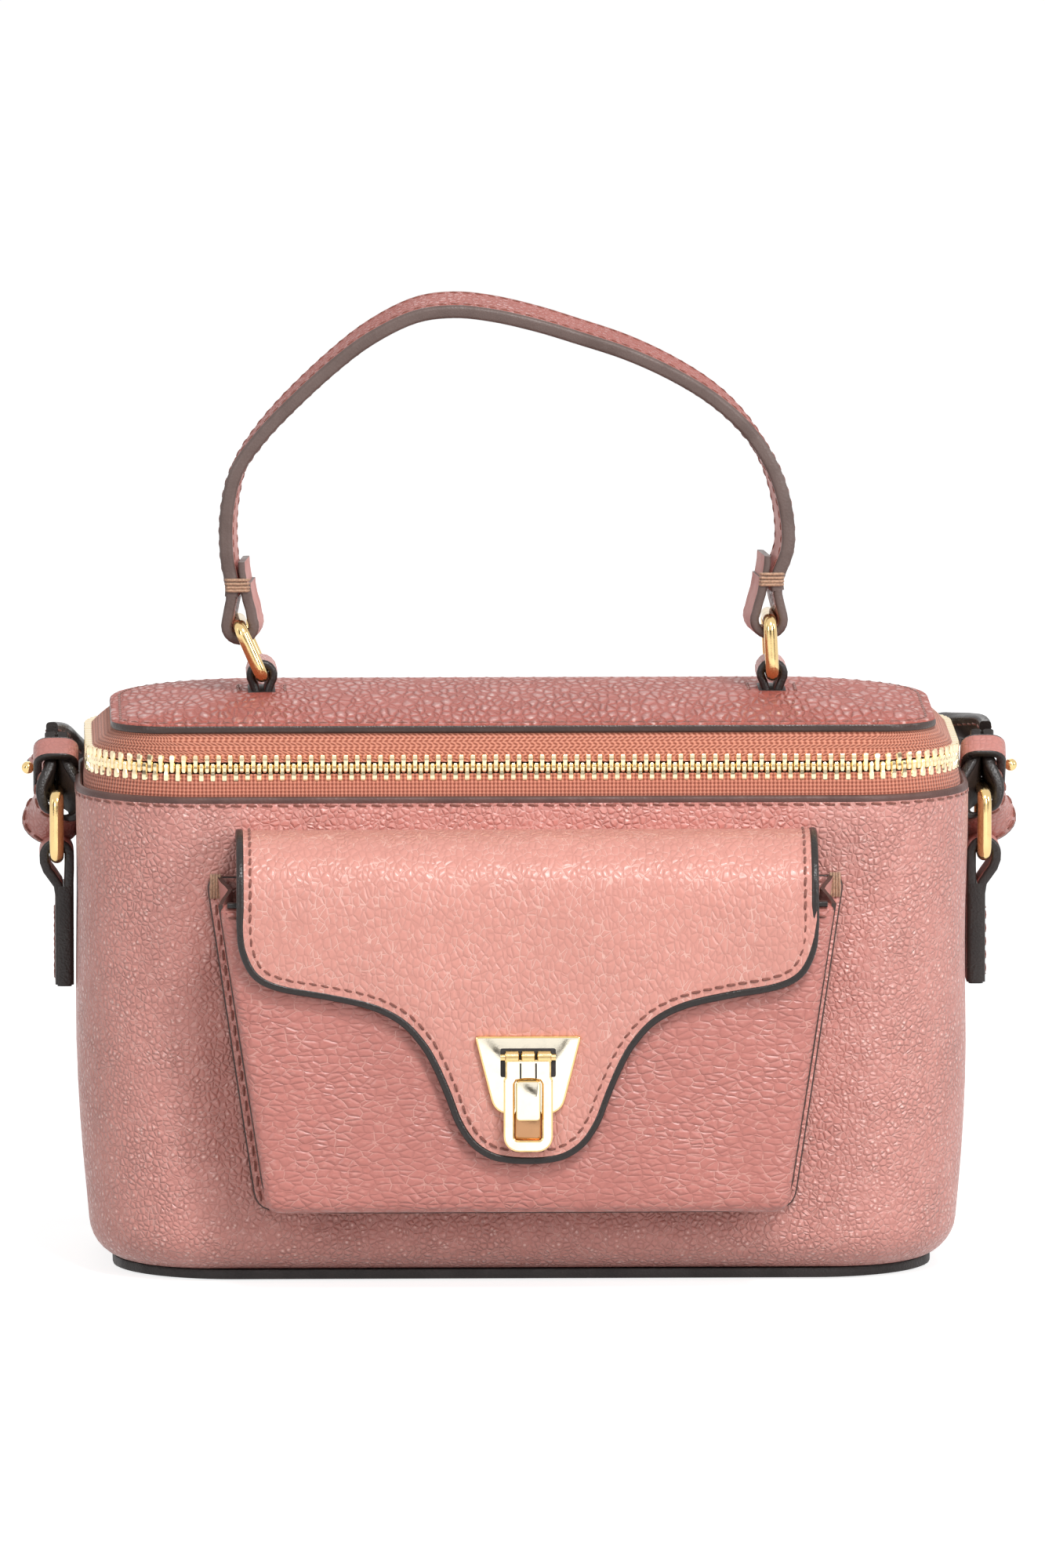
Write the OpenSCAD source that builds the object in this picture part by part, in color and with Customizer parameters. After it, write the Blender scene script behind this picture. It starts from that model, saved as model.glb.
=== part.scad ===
// Small zip-round vanity case in grained leather, with a top handle, a front flap pocket and a shoulder strap.
// X runs to the right, Y to the back and Z up; the origin is the middle of the base on the surface it stands on.

/* [Case] */
// Width of the case at the rim
case_w = 198; // [190:1:206]
// Depth of the case at the rim
case_d = 96; // [90:1:102]
// Height of the rim above the surface the case stands on
rim_z = 108.5; // [104:0.5:114]
// Radius of the front corners, seen from above
front_r = 27; // [24:1:30]
// Radius of the rear corners, seen from above
rear_r = 30; // [28:1:32]
// Radius of the rounded bottom edge
bottom_r = 9; // [7:0.5:11]
// How far each end draws in towards the bottom
draw_in = 3.5; // [2:0.5:5]
// Height below which the ends draw in
draw_z = 55; // [45:1:65]
// Thickness of the base panel
base_t = 2.2; // [1.6:0.2:3]
// How far the base panel stays inside the rim outline
base_in = 8; // [7:0.5:10]

/* [Leather] */
// Thickness of the outer leather
leather = 1.6; // [1.2:0.1:1.8]
// Thickness of the stiffening board
board = 1; // [0.8:0.1:1.4]
// Thickness of the lining
lining = 0.8; // [0.6:0.1:1]
// Gap between two layers that are glued together
glue = 0.1; // [0.05:0.05:0.2]

/* [Zip] */
// How far the zip chain stands inside the rim outline
chain_in = 2.9; // [2.7:0.1:3.2]
// Height of the middle of the chain above the rim
chain_up = 6.1; // [5.7:0.1:7]
// Width of the closed chain
chain_w = 5.8; // [5.4:0.1:6]
// Distance between two teeth of one row
pitch = 2.55; // [2.5:0.05:2.7]
// Width of one tooth along the row
tooth_w = 1.1; // [0.9:0.05:1.1]
// Thickness of one tooth through the chain
tooth_d = 3; // [2.6:0.1:3]
// How far the two rows of teeth reach into each other
mesh = 1.1; // [0.8:0.1:1.3]
// Thickness of the tape
tape = 0.8; // [0.6:0.1:0.9]
// Distance from the lid hinge line within which the upper tape stays with the case
tail_r = 11; // [10.5:0.5:12]
// Length of the slider
slider_l = 9; // [7:0.5:10]
// Thickness of each plate of the slider
slider_t = 1.1; // [0.9:0.1:1.2]
// Length of the puller
puller_l = 20; // [14:1:24]
// Width of the puller
puller_w = 5; // [4:0.5:6]

/* [Lid] */
// How far the ends of the lid stay inside the rim outline
lid_in_x = 7.7; // [7:0.1:9]
// How far the front and back of the lid stay inside the rim outline
lid_in_y = 4; // [3.8:0.1:5]
// Radius of the front corners of the lid
lid_front_r = 12; // [9:1:15]
// Radius of the rear corners of the lid
lid_rear_r = 34; // [31:1:36]
// Height of the lid panel's underside above the rim
lid_up = 13.5; // [13.2:0.1:15]
// Thickness of the lid panel at its edge
lid_edge = 2; // [1.6:0.1:2.4]
// How far the top of the lid is crowned
lid_crown = 3; // [1.5:0.5:4]
// Width of the leather hinge at the back of the lid
hinge_w = 130; // [110:2:132]
// Thickness of the leather hinge
hinge_t = 1; // [0.8:0.1:1]

/* [Handle] */
// Width of the handle strap
grip_w = 13; // [11:0.5:15]
// Thickness of each of the two layers of the handle
grip_t = 1.45; // [1.2:0.05:1.6]
// Left handle ring, distance from the middle of the lid
ring_left_x = 57.5; // [54:0.5:60]
// Right handle ring, distance from the middle of the lid
ring_right_x = 56; // [54:0.5:60]
// Lean of the left handle ring towards the left
lean_left = 24; // [20:1:26]
// Lean of the right handle ring towards the left
lean_right = 3; // [0:1:5]
// Height of the lower bar of the handle rings above the lid edge
bar_up = 6.6; // [6.4:0.2:7.4]
// Thickness of the wire of the handle rings
wire = 3; // [2.6:0.1:3.2]
// Distance between the middles of the two bars of a handle ring
bar_gap = 12.1; // [11.6:0.1:12.6]
// Thickness of the leather of the tabs
tab_t = 1.8; // [1.4:0.1:2]

/* [Pocket] */
// Half width of the pocket at the top
pocket_top = 68; // [66:1:70]
// Half width of the pocket at the bottom
pocket_low = 57.5; // [54:0.5:60]
// Height of the bottom of the pocket
pocket_z = 18.5; // [15:0.5:21]
// Height of the pocket from its bottom to its opening
pocket_h = 68.5; // [64:0.5:70]
// How far the pocket stands out from the case
pocket_d = 22; // [20:0.5:25]
// Thickness of the pocket leather
pocket_t = 1.2; // [1:0.1:1.4]
// Half width of the flap
flap_half = 63.5; // [61:0.5:65]
// Height of the tip of the flap
tip_z = 30.5; // [28:0.5:34]
// Height of the flap's crest below the rim
crest_down = 6.3; // [6:0.1:8]
// Thickness of the flap's outer leather
flap_t = 1.4; // [1.2:0.1:1.6]

/* [Lock] */
// Width of the lock plate at its top
plate_w = 23; // [21:0.5:25]
// Height of the lock plate
plate_h = 16.9; // [16:0.1:18]
// Thickness of the lock plate
plate_t = 1.6; // [1.3:0.1:1.8]
// Height of the top of the lock plate
plate_z = 58.2; // [57:0.2:59]
// Width of the hasp loop
loop_w = 11; // [10:0.5:11.5]
// Length of the hasp loop
loop_l = 23; // [22.5:0.5:25]
// Thickness of the hasp loop
loop_t = 1.4; // [1.2:0.1:1.6]
// Width of the catch that the hasp closes over
catch_w = 5.2; // [4:0.2:5.4]

/* [Shoulder strap] */
// Width of the shoulder strap
strap_w = 13; // [12:0.5:13.5]
// Thickness of the shoulder strap
strap_t = 2.6; // [2:0.1:3]
// Thickness of the wire of the side rings
side_wire = 3.2; // [2.8:0.1:3.4]
// Distance between the middles of the two bars of a side ring
side_gap = 13.4; // [12.8:0.1:14]
// Height of the lower bar of the side rings
side_z = 90.3; // [88:0.1:92]
// Height of the lower end of the side tabs
side_low = 61; // [56:0.5:64]

/* [Hidden] */

$fn = 48;
rose = "#c98a80";
rose_dark = "#b97a70";
edge_brown = "#4a3a36";
terracotta = "#c07050";
gold = "#e0bb6a";
inner_grey = "#57504c";

corner_steps = 8;
fillet_steps = 4;
half_w = case_w / 2;
half_d = case_d / 2;
clear = 0.3;
board_in = leather + glue;
lining_in = board_in + board + glue;
inner_in = lining_in + lining;
board_top = rim_z - 8;
tape_low = board_top + clear;
lining_top = rim_z - 4;

chain_z = rim_z + chain_up;
chain_hw = half_w - chain_in;
chain_hd = half_d - chain_in;
chain_rf = front_r - chain_in;
chain_rr = rear_r - 2;
teeth_low = chain_z - chain_w / 2;
teeth_top = chain_z + chain_w / 2;
corner_x = chain_hw - chain_rr;
corner_y = chain_hd - chain_rr;

lid_hw = half_w - lid_in_x;
lid_hd = half_d - lid_in_y;
lid_z = rim_z + lid_up;
lid_top = lid_z + lid_edge;
hinge_y = half_d - board_in;
hinge_z = chain_z;

// ---------------------------------------------------------------- outlines and sweeps

function arc(cx, cy, r, from, to) =
    [for (i = [0:corner_steps]) let (a = from + (to - from) * i / corner_steps) [cx + r * cos(a), cy + r * sin(a)]];

// Outline of the case seen from above, from the left end of the straight back, round the front, to its right end
function plan(hw, hd, rf, rr) = concat(
    arc(-hw + rr, hd - rr, rr, 90, 180),
    arc(-hw + rf, -hd + rf, rf, 180, 270),
    arc(hw - rf, -hd + rf, rf, 270, 360),
    arc(hw - rr, hd - rr, rr, 0, 90));

function lift(outline, z) = [for (p = outline) [p[0], p[1], z]];

function flat_list(rows) = [for (row = rows) for (p = row) p];

// A closed shell through rings of equal length, capped at its first and last ring
module shell(rings) {
    n = len(rings[0]);
    last = len(rings) - 1;
    sides = [for (j = [0:last - 1]) for (i = [0:n - 1])
        [j * n + i, (j + 1) * n + i, (j + 1) * n + (i + 1) % n, j * n + (i + 1) % n]];
    first_cap = [for (i = [0:n - 1]) i];
    last_cap = [for (i = [n - 1:-1:0]) last * n + i];
    polyhedron(flat_list(rings), concat(sides, [first_cap, last_cap]), convexity = 6);
}

// A bar through sections of equal length
module sweep(sections) {
    m = len(sections[0]);
    last = len(sections) - 1;
    near = [for (i = [0:last - 1]) for (j = [0:m - 1]) [i * m + j, i * m + (j + 1) % m, (i + 1) * m + j]];
    far = [for (i = [0:last - 1]) for (j = [0:m - 1])
        [i * m + (j + 1) % m, (i + 1) * m + (j + 1) % m, (i + 1) * m + j]];
    first_cap = [for (j = [m - 1:-1:0]) j];
    last_cap = [for (j = [0:m - 1]) last * m + j];
    polyhedron(flat_list(sections), concat(near, far, [first_cap, last_cap]), convexity = 10);
}

function across(rings) = [for (i = [0:len(rings[0]) - 1]) [for (ring = rings) ring[i]]];

// Smooth curve through points
function spline_point(p, i, t) =
    let (a = p[max(i - 1, 0)], b = p[i], c = p[min(i + 1, len(p) - 1)], d = p[min(i + 2, len(p) - 1)])
    0.5 * (2 * b + (c - a) * t + (2 * a - 5 * b + 4 * c - d) * t * t + (3 * b - a - 3 * c + d) * t * t * t);

function spline(p, steps) = concat(
    [for (i = [0:len(p) - 2]) for (k = [0:steps - 1]) spline_point(p, i, k / steps)],
    [p[len(p) - 1]]);

function unit(v) = v / norm(v);

function heading(p, i) = unit(p[min(i + 1, len(p) - 1)] - p[max(i - 1, 0)]);

// Rectangular sections of a strap along a route; each width vector is squared up to the route
function strap_sections(route, widths, w, low, high) = [
    for (i = [0:len(route) - 1])
    let (
        d = heading(route, i),
        side = unit(widths[i] - (widths[i] * d) * d),
        up = cross(side, d))
    [route[i] + side * w / 2 + up * low, route[i] + side * w / 2 + up * high,
     route[i] - side * w / 2 + up * high, route[i] - side * w / 2 + up * low]];

// ---------------------------------------------------------------- case

function drawn(z) = z < draw_z ? draw_in * pow((draw_z - z) / draw_z, 1.5) : 0;

function case_ring(z, inset) =
    lift(plan(half_w - drawn(z) - inset, half_d - inset, front_r - inset, rear_r - inset), z);

// Rings of the case wall, moved inwards by t, from the bottom up to z = top
function wall_rings(t, top) = concat(
    [for (k = [0:fillet_steps]) let (a = 90 * k / fillet_steps, r = bottom_r - t)
        case_ring(base_t + glue + t + r * (1 - cos(a)), t + r * (1 - sin(a)))],
    [for (k = [1:3]) case_ring(bottom_r + base_t + (draw_z - bottom_r - base_t) * k / 3, t)],
    [case_ring(top, t)]);

function turned(rings) = [for (i = [len(rings) - 1:-1:0]) rings[i]];

module base_panel() {
    color(edge_brown)
        linear_extrude(base_t)
            polygon(plan(half_w - base_in, half_d - base_in + 1, front_r, rear_r));
}

module body_shell() {
    color(rose) shell(concat(wall_rings(0, rim_z), turned(wall_rings(leather, rim_z))));
}

module body_board() {
    color(inner_grey)
        shell(concat(wall_rings(board_in, board_top), turned(wall_rings(board_in + board, board_top))));
}

module body_lining() {
    color(terracotta)
        shell(concat(wall_rings(lining_in, lining_top), turned(wall_rings(inner_in, lining_top))));
}

// ---------------------------------------------------------------- zip

// Where a tooth stands, s along the chain from the middle of the front: x, y and heading
function chain_right(s) =
    let (
        front = chain_hw - chain_rf,
        front_arc = chain_rf * PI / 2,
        side = 2 * chain_hd - chain_rf - chain_rr,
        turn = (s - front) / chain_rf * 180 / PI,
        rear_turn = (s - front - front_arc - side) / chain_rr * 180 / PI)
    s < front ? [s, -chain_hd, 0] :
    s < front + front_arc ? [front + chain_rf * sin(turn), -chain_hd + chain_rf * (1 - cos(turn)), turn] :
    s < front + front_arc + side ? [chain_hw, -chain_hd + chain_rf + s - front - front_arc, 90] :
    [corner_x + chain_rr * cos(rear_turn), corner_y + chain_rr * sin(rear_turn), 90 + rear_turn];

function chain_at(s) = let (p = chain_right(abs(s))) s < 0 ? [-p[0], p[1], -p[2]] : p;

chain_half = chain_hw - chain_rf + chain_rf * PI / 2 + 2 * chain_hd - chain_rf - chain_rr + chain_rr * PI / 2;
teeth_each_way = floor((chain_half - 2) / pitch);
tooth_h = (chain_w + mesh) / 2;

// Teeth between two depths, on one side of the case or, with side 0, on both
module teeth(z, shift, from_y, to_y, side = 0) {
    for (i = [-teeth_each_way:teeth_each_way - 2 * shift]) {
        at = chain_at((i + shift) * pitch);
        if (at[1] >= from_y && at[1] < to_y && at[0] * side >= 0)
            translate([at[0], at[1], z + tooth_h / 2])
                rotate(at[2])
                    cube([tooth_w, tooth_d, tooth_h], center = true);
    }
}

// Ring of tape, d outside the chain line at the chain
function chain_ring(z, d) = lift(plan(chain_hw + d, chain_hd + d, chain_rf + d, chain_rr + d), z);

function lid_ring(z, inset, rf = lid_front_r, rr = lid_rear_r) =
    lift(plan(lid_hw - inset, lid_hd - inset, max(rf - inset, 1), max(rr - inset, 2)), z);

module lower_zip_tape() {
    outer = tape / 2;
    in_wall = leather + glue;
    color(terracotta) sweep(across([
        case_ring(tape_low, in_wall), case_ring(rim_z, in_wall), chain_ring(teeth_low - glue, outer),
        chain_ring(teeth_low - glue, -outer), case_ring(rim_z, in_wall + tape), case_ring(tape_low, in_wall + tape)
    ]));
}

module upper_band() {
    outer = tape / 2;
    under_lid = 0.7;
    sweep(across([
        chain_ring(teeth_top + glue, outer), lid_ring(lid_z - glue, under_lid),
        lid_ring(lid_z - glue, under_lid + tape), chain_ring(teeth_top + glue, -outer)
    ]));
}

module hinge_cylinder(r) {
    translate([0, hinge_y, hinge_z])
        rotate([0, 90, 0])
            cylinder(h = 1.1 * case_w, r = r, center = true);
}

module upper_zip_tape() {
    color(terracotta)
        difference() {
            upper_band();
            hinge_cylinder(tail_r + clear);
        }
}

module half_space(side) {
    translate([side > 0 ? 0 : -case_w, -case_d, 0]) cube([case_w, 2 * case_d, 2 * rim_z]);
}

tail_y = hinge_y - tail_r;

module zip_tail(side) {
    color(terracotta)
        intersection() {
            upper_band();
            hinge_cylinder(tail_r - clear);
            half_space(side);
        }
    color(gold) teeth(chain_z - mesh / 2, 0.5, tail_y + tooth_w, case_d, side);
}

module zip_tail_left() { zip_tail(-1); }

module zip_tail_right() { zip_tail(1); }

module lower_zip_teeth() {
    color(gold) teeth(teeth_low, 0, -case_d, case_d);
}

module upper_zip_teeth() {
    color(gold) teeth(chain_z - mesh / 2, 0.5, -case_d, tail_y - tooth_w);
}

module hinge_plate(profile, half) {
    translate([-half, 0, 0])
        rotate([90, 0, 90])
            linear_extrude(2 * half)
                polygon(profile);
}

module hinge_panel_lower() {
    color(rose_dark) hinge_plate([
        [hinge_y, tape_low], [hinge_y, hinge_z - clear],
        [hinge_y - hinge_t, hinge_z - clear], [hinge_y - hinge_t, tape_low]], min(hinge_w / 2, corner_x - 1));
}

module hinge_panel_upper() {
    lean = lid_in_y - board_in + hinge_t;
    color(rose_dark) hinge_plate([
        [hinge_y, hinge_z + clear], [hinge_y - lean, lid_z - glue],
        [hinge_y - lean - hinge_t, lid_z - glue], [hinge_y - hinge_t, hinge_z + clear]],
        min(hinge_w / 2, lid_hw - lid_rear_r - 1));
}

// The slider runs round the right rear corner; it is parked slider_at degrees round it
slider_at = 80;
slider_gap = tooth_d / 2 + 0.35;
slider_h = chain_w + 0.7;
bridge_wire = 1.4;
eye_d = bridge_wire + 2;
bridge_r = chain_rr + slider_gap + slider_t + eye_d / 2 + clear;
bridge_l = 5;

module on_corner(angle) {
    translate([corner_x, corner_y, chain_z]) rotate(angle) children();
}

module slider_plate(r) {
    span = slider_l / chain_rr * 180 / PI;
    rotate(-span / 2)
        rotate_extrude(angle = span, $fn = 96)
            translate([r, -slider_h / 2])
                square([slider_t, slider_h]);
}

module zip_slider() {
    post = 1.2;
    color(gold)
        on_corner(slider_at) {
            slider_plate(chain_rr + slider_gap);
            slider_plate(chain_rr - slider_gap - slider_t);
            translate([bridge_r, 0, 0])
                rotate([90, 0, 0])
                    cylinder(h = bridge_l, d = bridge_wire, center = true);
            for (side = [-1, 1])
                translate([chain_rr + slider_gap + 0.5, side * (bridge_l - post) / 2 - post / 2, -bridge_wire / 2])
                    cube([bridge_r - chain_rr - slider_gap - 0.5 + bridge_wire / 2, post, bridge_wire]);
        }
}

module zip_puller() {
    eye_w = bridge_l - 3.2;
    blade_t = 1.4;
    color(gold)
        on_corner(slider_at)
            translate([bridge_r, 0, 0])
                difference() {
                    union() {
                        rotate([90, 0, 0]) cylinder(h = eye_w, d = eye_d, center = true);
                        translate([-blade_t / 2 + 0.2, -eye_w / 2, -4]) cube([blade_t, eye_w, 4]);
                        translate([-blade_t / 2 + 0.2, -puller_w / 2, -puller_l]) cube([blade_t, puller_w, puller_l - 4]);
                    }
                    rotate([90, 0, 0]) cylinder(h = eye_w + 1, d = bridge_wire + 0.4, center = true);
                }
}

// ---------------------------------------------------------------- lid

crown_steps = 5;
tab_slot_w = 2 * tab_t + 1.2;

module lid_panel() {
    reach = lid_hd - 4;
    crown = [for (k = [0:crown_steps]) let (u = k / crown_steps)
        lid_ring(lid_top + lid_crown * (1 - pow(1 - u, 2)), reach * u)];
    color(rose)
        difference() {
            shell(concat([lid_ring(lid_z, 0)], crown));
            for (x = [-ring_left_x, ring_right_x])
                translate([x - tab_slot_w / 2, -grip_w / 2 - clear, lid_z - 1])
                    cube([tab_slot_w, grip_w + 2 * clear, lid_edge + lid_crown + 2]);
        }
}

module lid_layer(inset, top, thickness) {
    difference() {
        shell([lid_ring(top - thickness, inset), lid_ring(top, inset)]);
        hinge_cylinder(tail_r + clear);
    }
}

board_side = 0.7 + tape + clear;

module lid_board() {
    color(inner_grey) lid_layer(board_side, lid_z - glue, board);
}

module lid_lining() {
    color(terracotta) lid_layer(board_side, lid_z - 2 * glue - board, lining);
}

// ---------------------------------------------------------------- tabs and rings

bar_z = lid_top + bar_up;
ring_corner = 2;

// A rounded wire link that stands on the middle of its lower bar; its bars run along Y
module link(d, gap, inside_w) {
    y = inside_w / 2 + d / 2;
    for (z = [0, gap])
        translate([0, 0, z])
            rotate([90, 0, 0])
                cylinder(h = 2 * (y - ring_corner), d = d, center = true);
    for (side = [-1, 1]) {
        translate([0, side * y, ring_corner]) cylinder(h = gap - 2 * ring_corner, d = d);
        for (up = [0, 1])
            translate([0, side * (y - ring_corner), up ? gap - ring_corner : ring_corner])
                rotate([0, up ? 0 : 180, 0])
                    rotate([90, 0, side > 0 ? 90 : -90])
                        rotate_extrude(angle = 90)
                            translate([ring_corner, 0])
                                circle(d = d);
    }
}

// A strip folded round a bar along Y: a round loop that narrows into its legs below or above the bar
module folded_loop(bore, thickness, leg_w, reach, width) {
    r = bore + thickness;
    rotate([90, 0, 0])
        linear_extrude(width, center = true)
            difference() {
                union() {
                    circle(r);
                    polygon([[-r * 0.94, -r * 0.34], [-leg_w / 2, -r * 1.1], [-leg_w / 2, -reach],
                             [leg_w / 2, -reach], [leg_w / 2, -r * 1.1], [r * 0.94, -r * 0.34]]);
                }
                circle(bore);
            }
}

ring_play = 0.2;
handle_link_w = grip_w + 1;

module handle_tab(x) {
    color(rose)
        translate([x, 0, bar_z])
            folded_loop(wire / 2 + ring_play, tab_t, 2 * (tab_t + ring_play), bar_z - lid_z - ring_play, grip_w);
}

module handle_tab_left() { handle_tab(-ring_left_x); }

module handle_tab_right() { handle_tab(ring_right_x); }

module handle_ring(x, lean) {
    color(gold)
        translate([x, 0, bar_z])
            rotate([0, -lean, 0])
                link(wire, bar_gap, handle_link_w);
}

module handle_ring_left() { handle_ring(-ring_left_x, lean_left); }

module handle_ring_right() { handle_ring(ring_right_x, lean_right); }

// ---------------------------------------------------------------- handle

left_top = [-ring_left_x - bar_gap * sin(lean_left), bar_z + bar_gap * cos(lean_left)];
right_top = [ring_right_x - bar_gap * sin(lean_right), bar_z + bar_gap * cos(lean_right)];
loop_up = 6.5;
strap_side = 1.9;

// Middle line of the outer layer of the handle: share of the way from its left end to its right end, and height
// above the lower bars of the rings
handle_shape = [
    [-0.009, 26.9], [-0.009, 35.8], [0.008, 44.8], [0.048, 52.2], [0.102, 59.3], [0.179, 68.0],
    [0.252, 74.7], [0.332, 79.6], [0.406, 80.9], [0.480, 80.0], [0.559, 77.8], [0.632, 75.1],
    [0.726, 71.3], [0.814, 66.4], [0.887, 60.8], [0.947, 54.0], [0.990, 46.2], [1.013, 37.6],
    [1.019, 28.6]];
handle_from = left_top + [-strap_side, loop_up];
handle_to = right_top + [strap_side, loop_up];
upright_l = 3;
handle_line = concat(
    [handle_from, handle_from + [0, upright_l]],
    [for (p = handle_shape) [handle_from[0] + p[0] * (handle_to[0] - handle_from[0]), bar_z + p[1]]],
    [handle_to + [0, upright_l], handle_to]);

module handle_layer(low, high) {
    flat_route = spline(handle_line, 3);
    route = [for (p = flat_route) [p[0], 0, p[1]]];
    widths = [for (p = route) [0, 1, 0]];
    sweep(strap_sections(route, widths, grip_w, low, high));
}

module handle_strap() {
    color(rose) handle_layer(-grip_t, 0);
}

module handle_backing() {
    color(rose_dark) handle_layer(glue, grip_t + glue);
}

tail_l = 8;
end_r = 4.4;
loose_play = 0.6;

// The end of the handle: a loop round the ring's upper bar and a tail on the inner side of the handle
module handle_end(top, side, bore) {
    leg_w = 2 * strap_side + 2 * grip_t + 2 * ring_play;
    tail_x = glue + clear + grip_t - strap_side;
    color(rose)
        translate([top[0], 0, top[1]]) {
            rotate([0, 180, 0]) folded_loop(bore, end_r - bore, leg_w, loop_up - clear, grip_w);
            translate([side > 0 ? tail_x : -tail_x - tab_t, -grip_w / 2, loop_up - clear - glue])
                cube([tab_t, grip_w, tail_l]);
        }
}

module handle_end_left() { handle_end(left_top, 1, wire / 2 + ring_play); }

module handle_end_right() { handle_end(right_top, -1, wire / 2 + loose_play); }

// ---------------------------------------------------------------- front pocket

front_y = -half_d;
back_y = front_y - glue;
panel_y = front_y - pocket_d;
pocket_top_z = pocket_z + pocket_h;
flange = 2;
back_rise = 4;

module upright(y, thickness) {
    translate([0, y + thickness, 0])
        rotate([90, 0, 0])
            linear_extrude(thickness)
                children();
}

module trapezoid(top_half, low_half, low_z, top_z) {
    polygon([[-low_half, low_z], [low_half, low_z], [top_half, top_z], [-top_half, top_z]]);
}

module pocket_back_panel() {
    color(rose_dark)
        upright(back_y - pocket_t, pocket_t)
            trapezoid(pocket_top + flange + back_rise * (pocket_top - pocket_low) / pocket_h,
                      pocket_low + flange, pocket_z - flange, pocket_top_z + back_rise);
}

module pocket_gusset() {
    gusset_front = panel_y + leather + glue;
    gusset_back = back_y - pocket_t - glue;
    color(rose_dark)
        upright(gusset_front, gusset_back - gusset_front)
            difference() {
                trapezoid(pocket_top, pocket_low, pocket_z, pocket_top_z);
                trapezoid(pocket_top - pocket_t, pocket_low - pocket_t, pocket_z + pocket_t, pocket_top_z + 1);
            }
}

module pocket_front_panel() {
    round_r = 4;
    color(rose)
        upright(panel_y, leather)
            union() {
                trapezoid(pocket_top, pocket_low + round_r * (pocket_top - pocket_low) / pocket_h,
                          pocket_z + round_r, pocket_top_z);
                for (side = [-1, 1])
                    translate([side * (pocket_low - round_r), pocket_z + round_r]) circle(round_r);
                translate([-pocket_low + round_r, pocket_z]) square([2 * (pocket_low - round_r), 2 * round_r]);
            }
}

crest_z = rim_z - crest_down;
crest_y = front_y - 10;
flap_y = panel_y - 3;
lining_y = flap_y + flap_t + glue;

fold_h = 15;

// Outside of the flap from the case wall to its front face, as y and height
flap_profile = spline([
    [back_y, crest_z - 2], [front_y - 4, crest_z - 0.6], [crest_y, crest_z], [crest_y - 6, crest_z - 1.2],
    [flap_y + 4, crest_z - 0.31 * fold_h], [flap_y + 1, crest_z - 0.6 * fold_h],
    [flap_y, crest_z - fold_h]], 4);
crest_index = 8;

function part_of(list, from, to) = [for (i = [from:to]) list[i]];

function thickened(line, t) = concat(line, [for (i = [len(line) - 1:-1:0])
    let (d = heading(line, i)) line[i] + [-d[1], d[0]] * t]);

module flap_sheet(line) {
    translate([-flap_half, 0, 0])
        rotate([90, 0, 90])
            linear_extrude(2 * flap_half)
                polygon(thickened(line, flap_t));
}

module flap_root() {
    line = part_of(flap_profile, 0, crest_index);
    shift = [for (p = line) p + [clear, 0]];
    color(rose) flap_sheet(concat([[back_y, crest_z - 2]], part_of(shift, 1, crest_index)));
}

// Lower edge of the flap from its right side to its tip, as share of its half width and height above the tip
flap_edge = [
    [1, 56.5], [1, 52], [0.99, 46.5], [0.946, 41.2], [0.859, 38.4], [0.7, 36.6], [0.548, 34.4], [0.443, 31.1],
    [0.371, 26.3], [0.326, 21.5], [0.282, 15.1], [0.244, 8.8], [0.194, 4], [0.13, 1.2], [0.062, 0.2], [0, 0]];

module flap_face() {
    right = [for (p = spline(flap_edge, 3)) [flap_half * p[0], tip_z + p[1]]];
    left = [for (i = [len(right) - 2:-1:0]) [-right[i][0], right[i][1]]];
    polygon(concat([[flap_half, crest_z - fold_h]], right, left, [[-flap_half, crest_z - fold_h]]));
}

catch_top = plate_z - 12;
catch_h = 4.6;
hole_play = 0.6;
window_top = plate_z - 2.4;
window_h = 6.6;
window_w = loop_w + 1.7;

module catch_hole(low) {
    translate([-catch_w / 2 - hole_play, low]) square([catch_w + 2 * hole_play, catch_top + hole_play - low]);
}

module pocket_flap() {
    line = part_of(flap_profile, crest_index, len(flap_profile) - 1);
    color(rose) {
        flap_sheet([for (i = [0:len(line) - 1]) i == 0 ? line[0] - [clear, 0.02] : line[i]]);
        upright(flap_y, flap_t)
            difference() {
                flap_face();
                catch_hole(catch_top - catch_h - 3);
            }
    }
}

module flap_lining() {
    color(inner_grey)
        upright(lining_y, lining)
            difference() {
                flap_face();
                catch_hole(catch_top - catch_h - 3);
            }
}

// ---------------------------------------------------------------- lock

plate_y = flap_y - plate_t;
pin_y = flap_y - 1.8;
pin_z = window_top - 1.8;
pin_d = 1.4;
knuckle_d = 2.9;
loop_back = plate_y - 0.25;

module lock_plate() {
    half = plate_w / 2;
    low_half = half - 4.7;
    low_z = plate_z - plate_h;
    right = [[half, plate_z], [half - 0.3, plate_z - 1.5], [low_half, low_z + 3],
             [low_half - 1, low_z + 0.9], [low_half - 3, low_z]];
    color(gold)
        upright(plate_y, plate_t - glue)
            difference() {
                polygon(concat(right, [for (p = turned(right)) [-p[0], p[1]]]));
                translate([-window_w / 2, window_top - window_h]) square([window_w, window_h]);
                catch_hole(plate_z - plate_h - 1);
            }
}

module lock_pin() {
    color(gold)
        translate([0, pin_y, pin_z])
            rotate([0, 90, 0])
                cylinder(h = window_w, d = pin_d, center = true);
}

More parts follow.
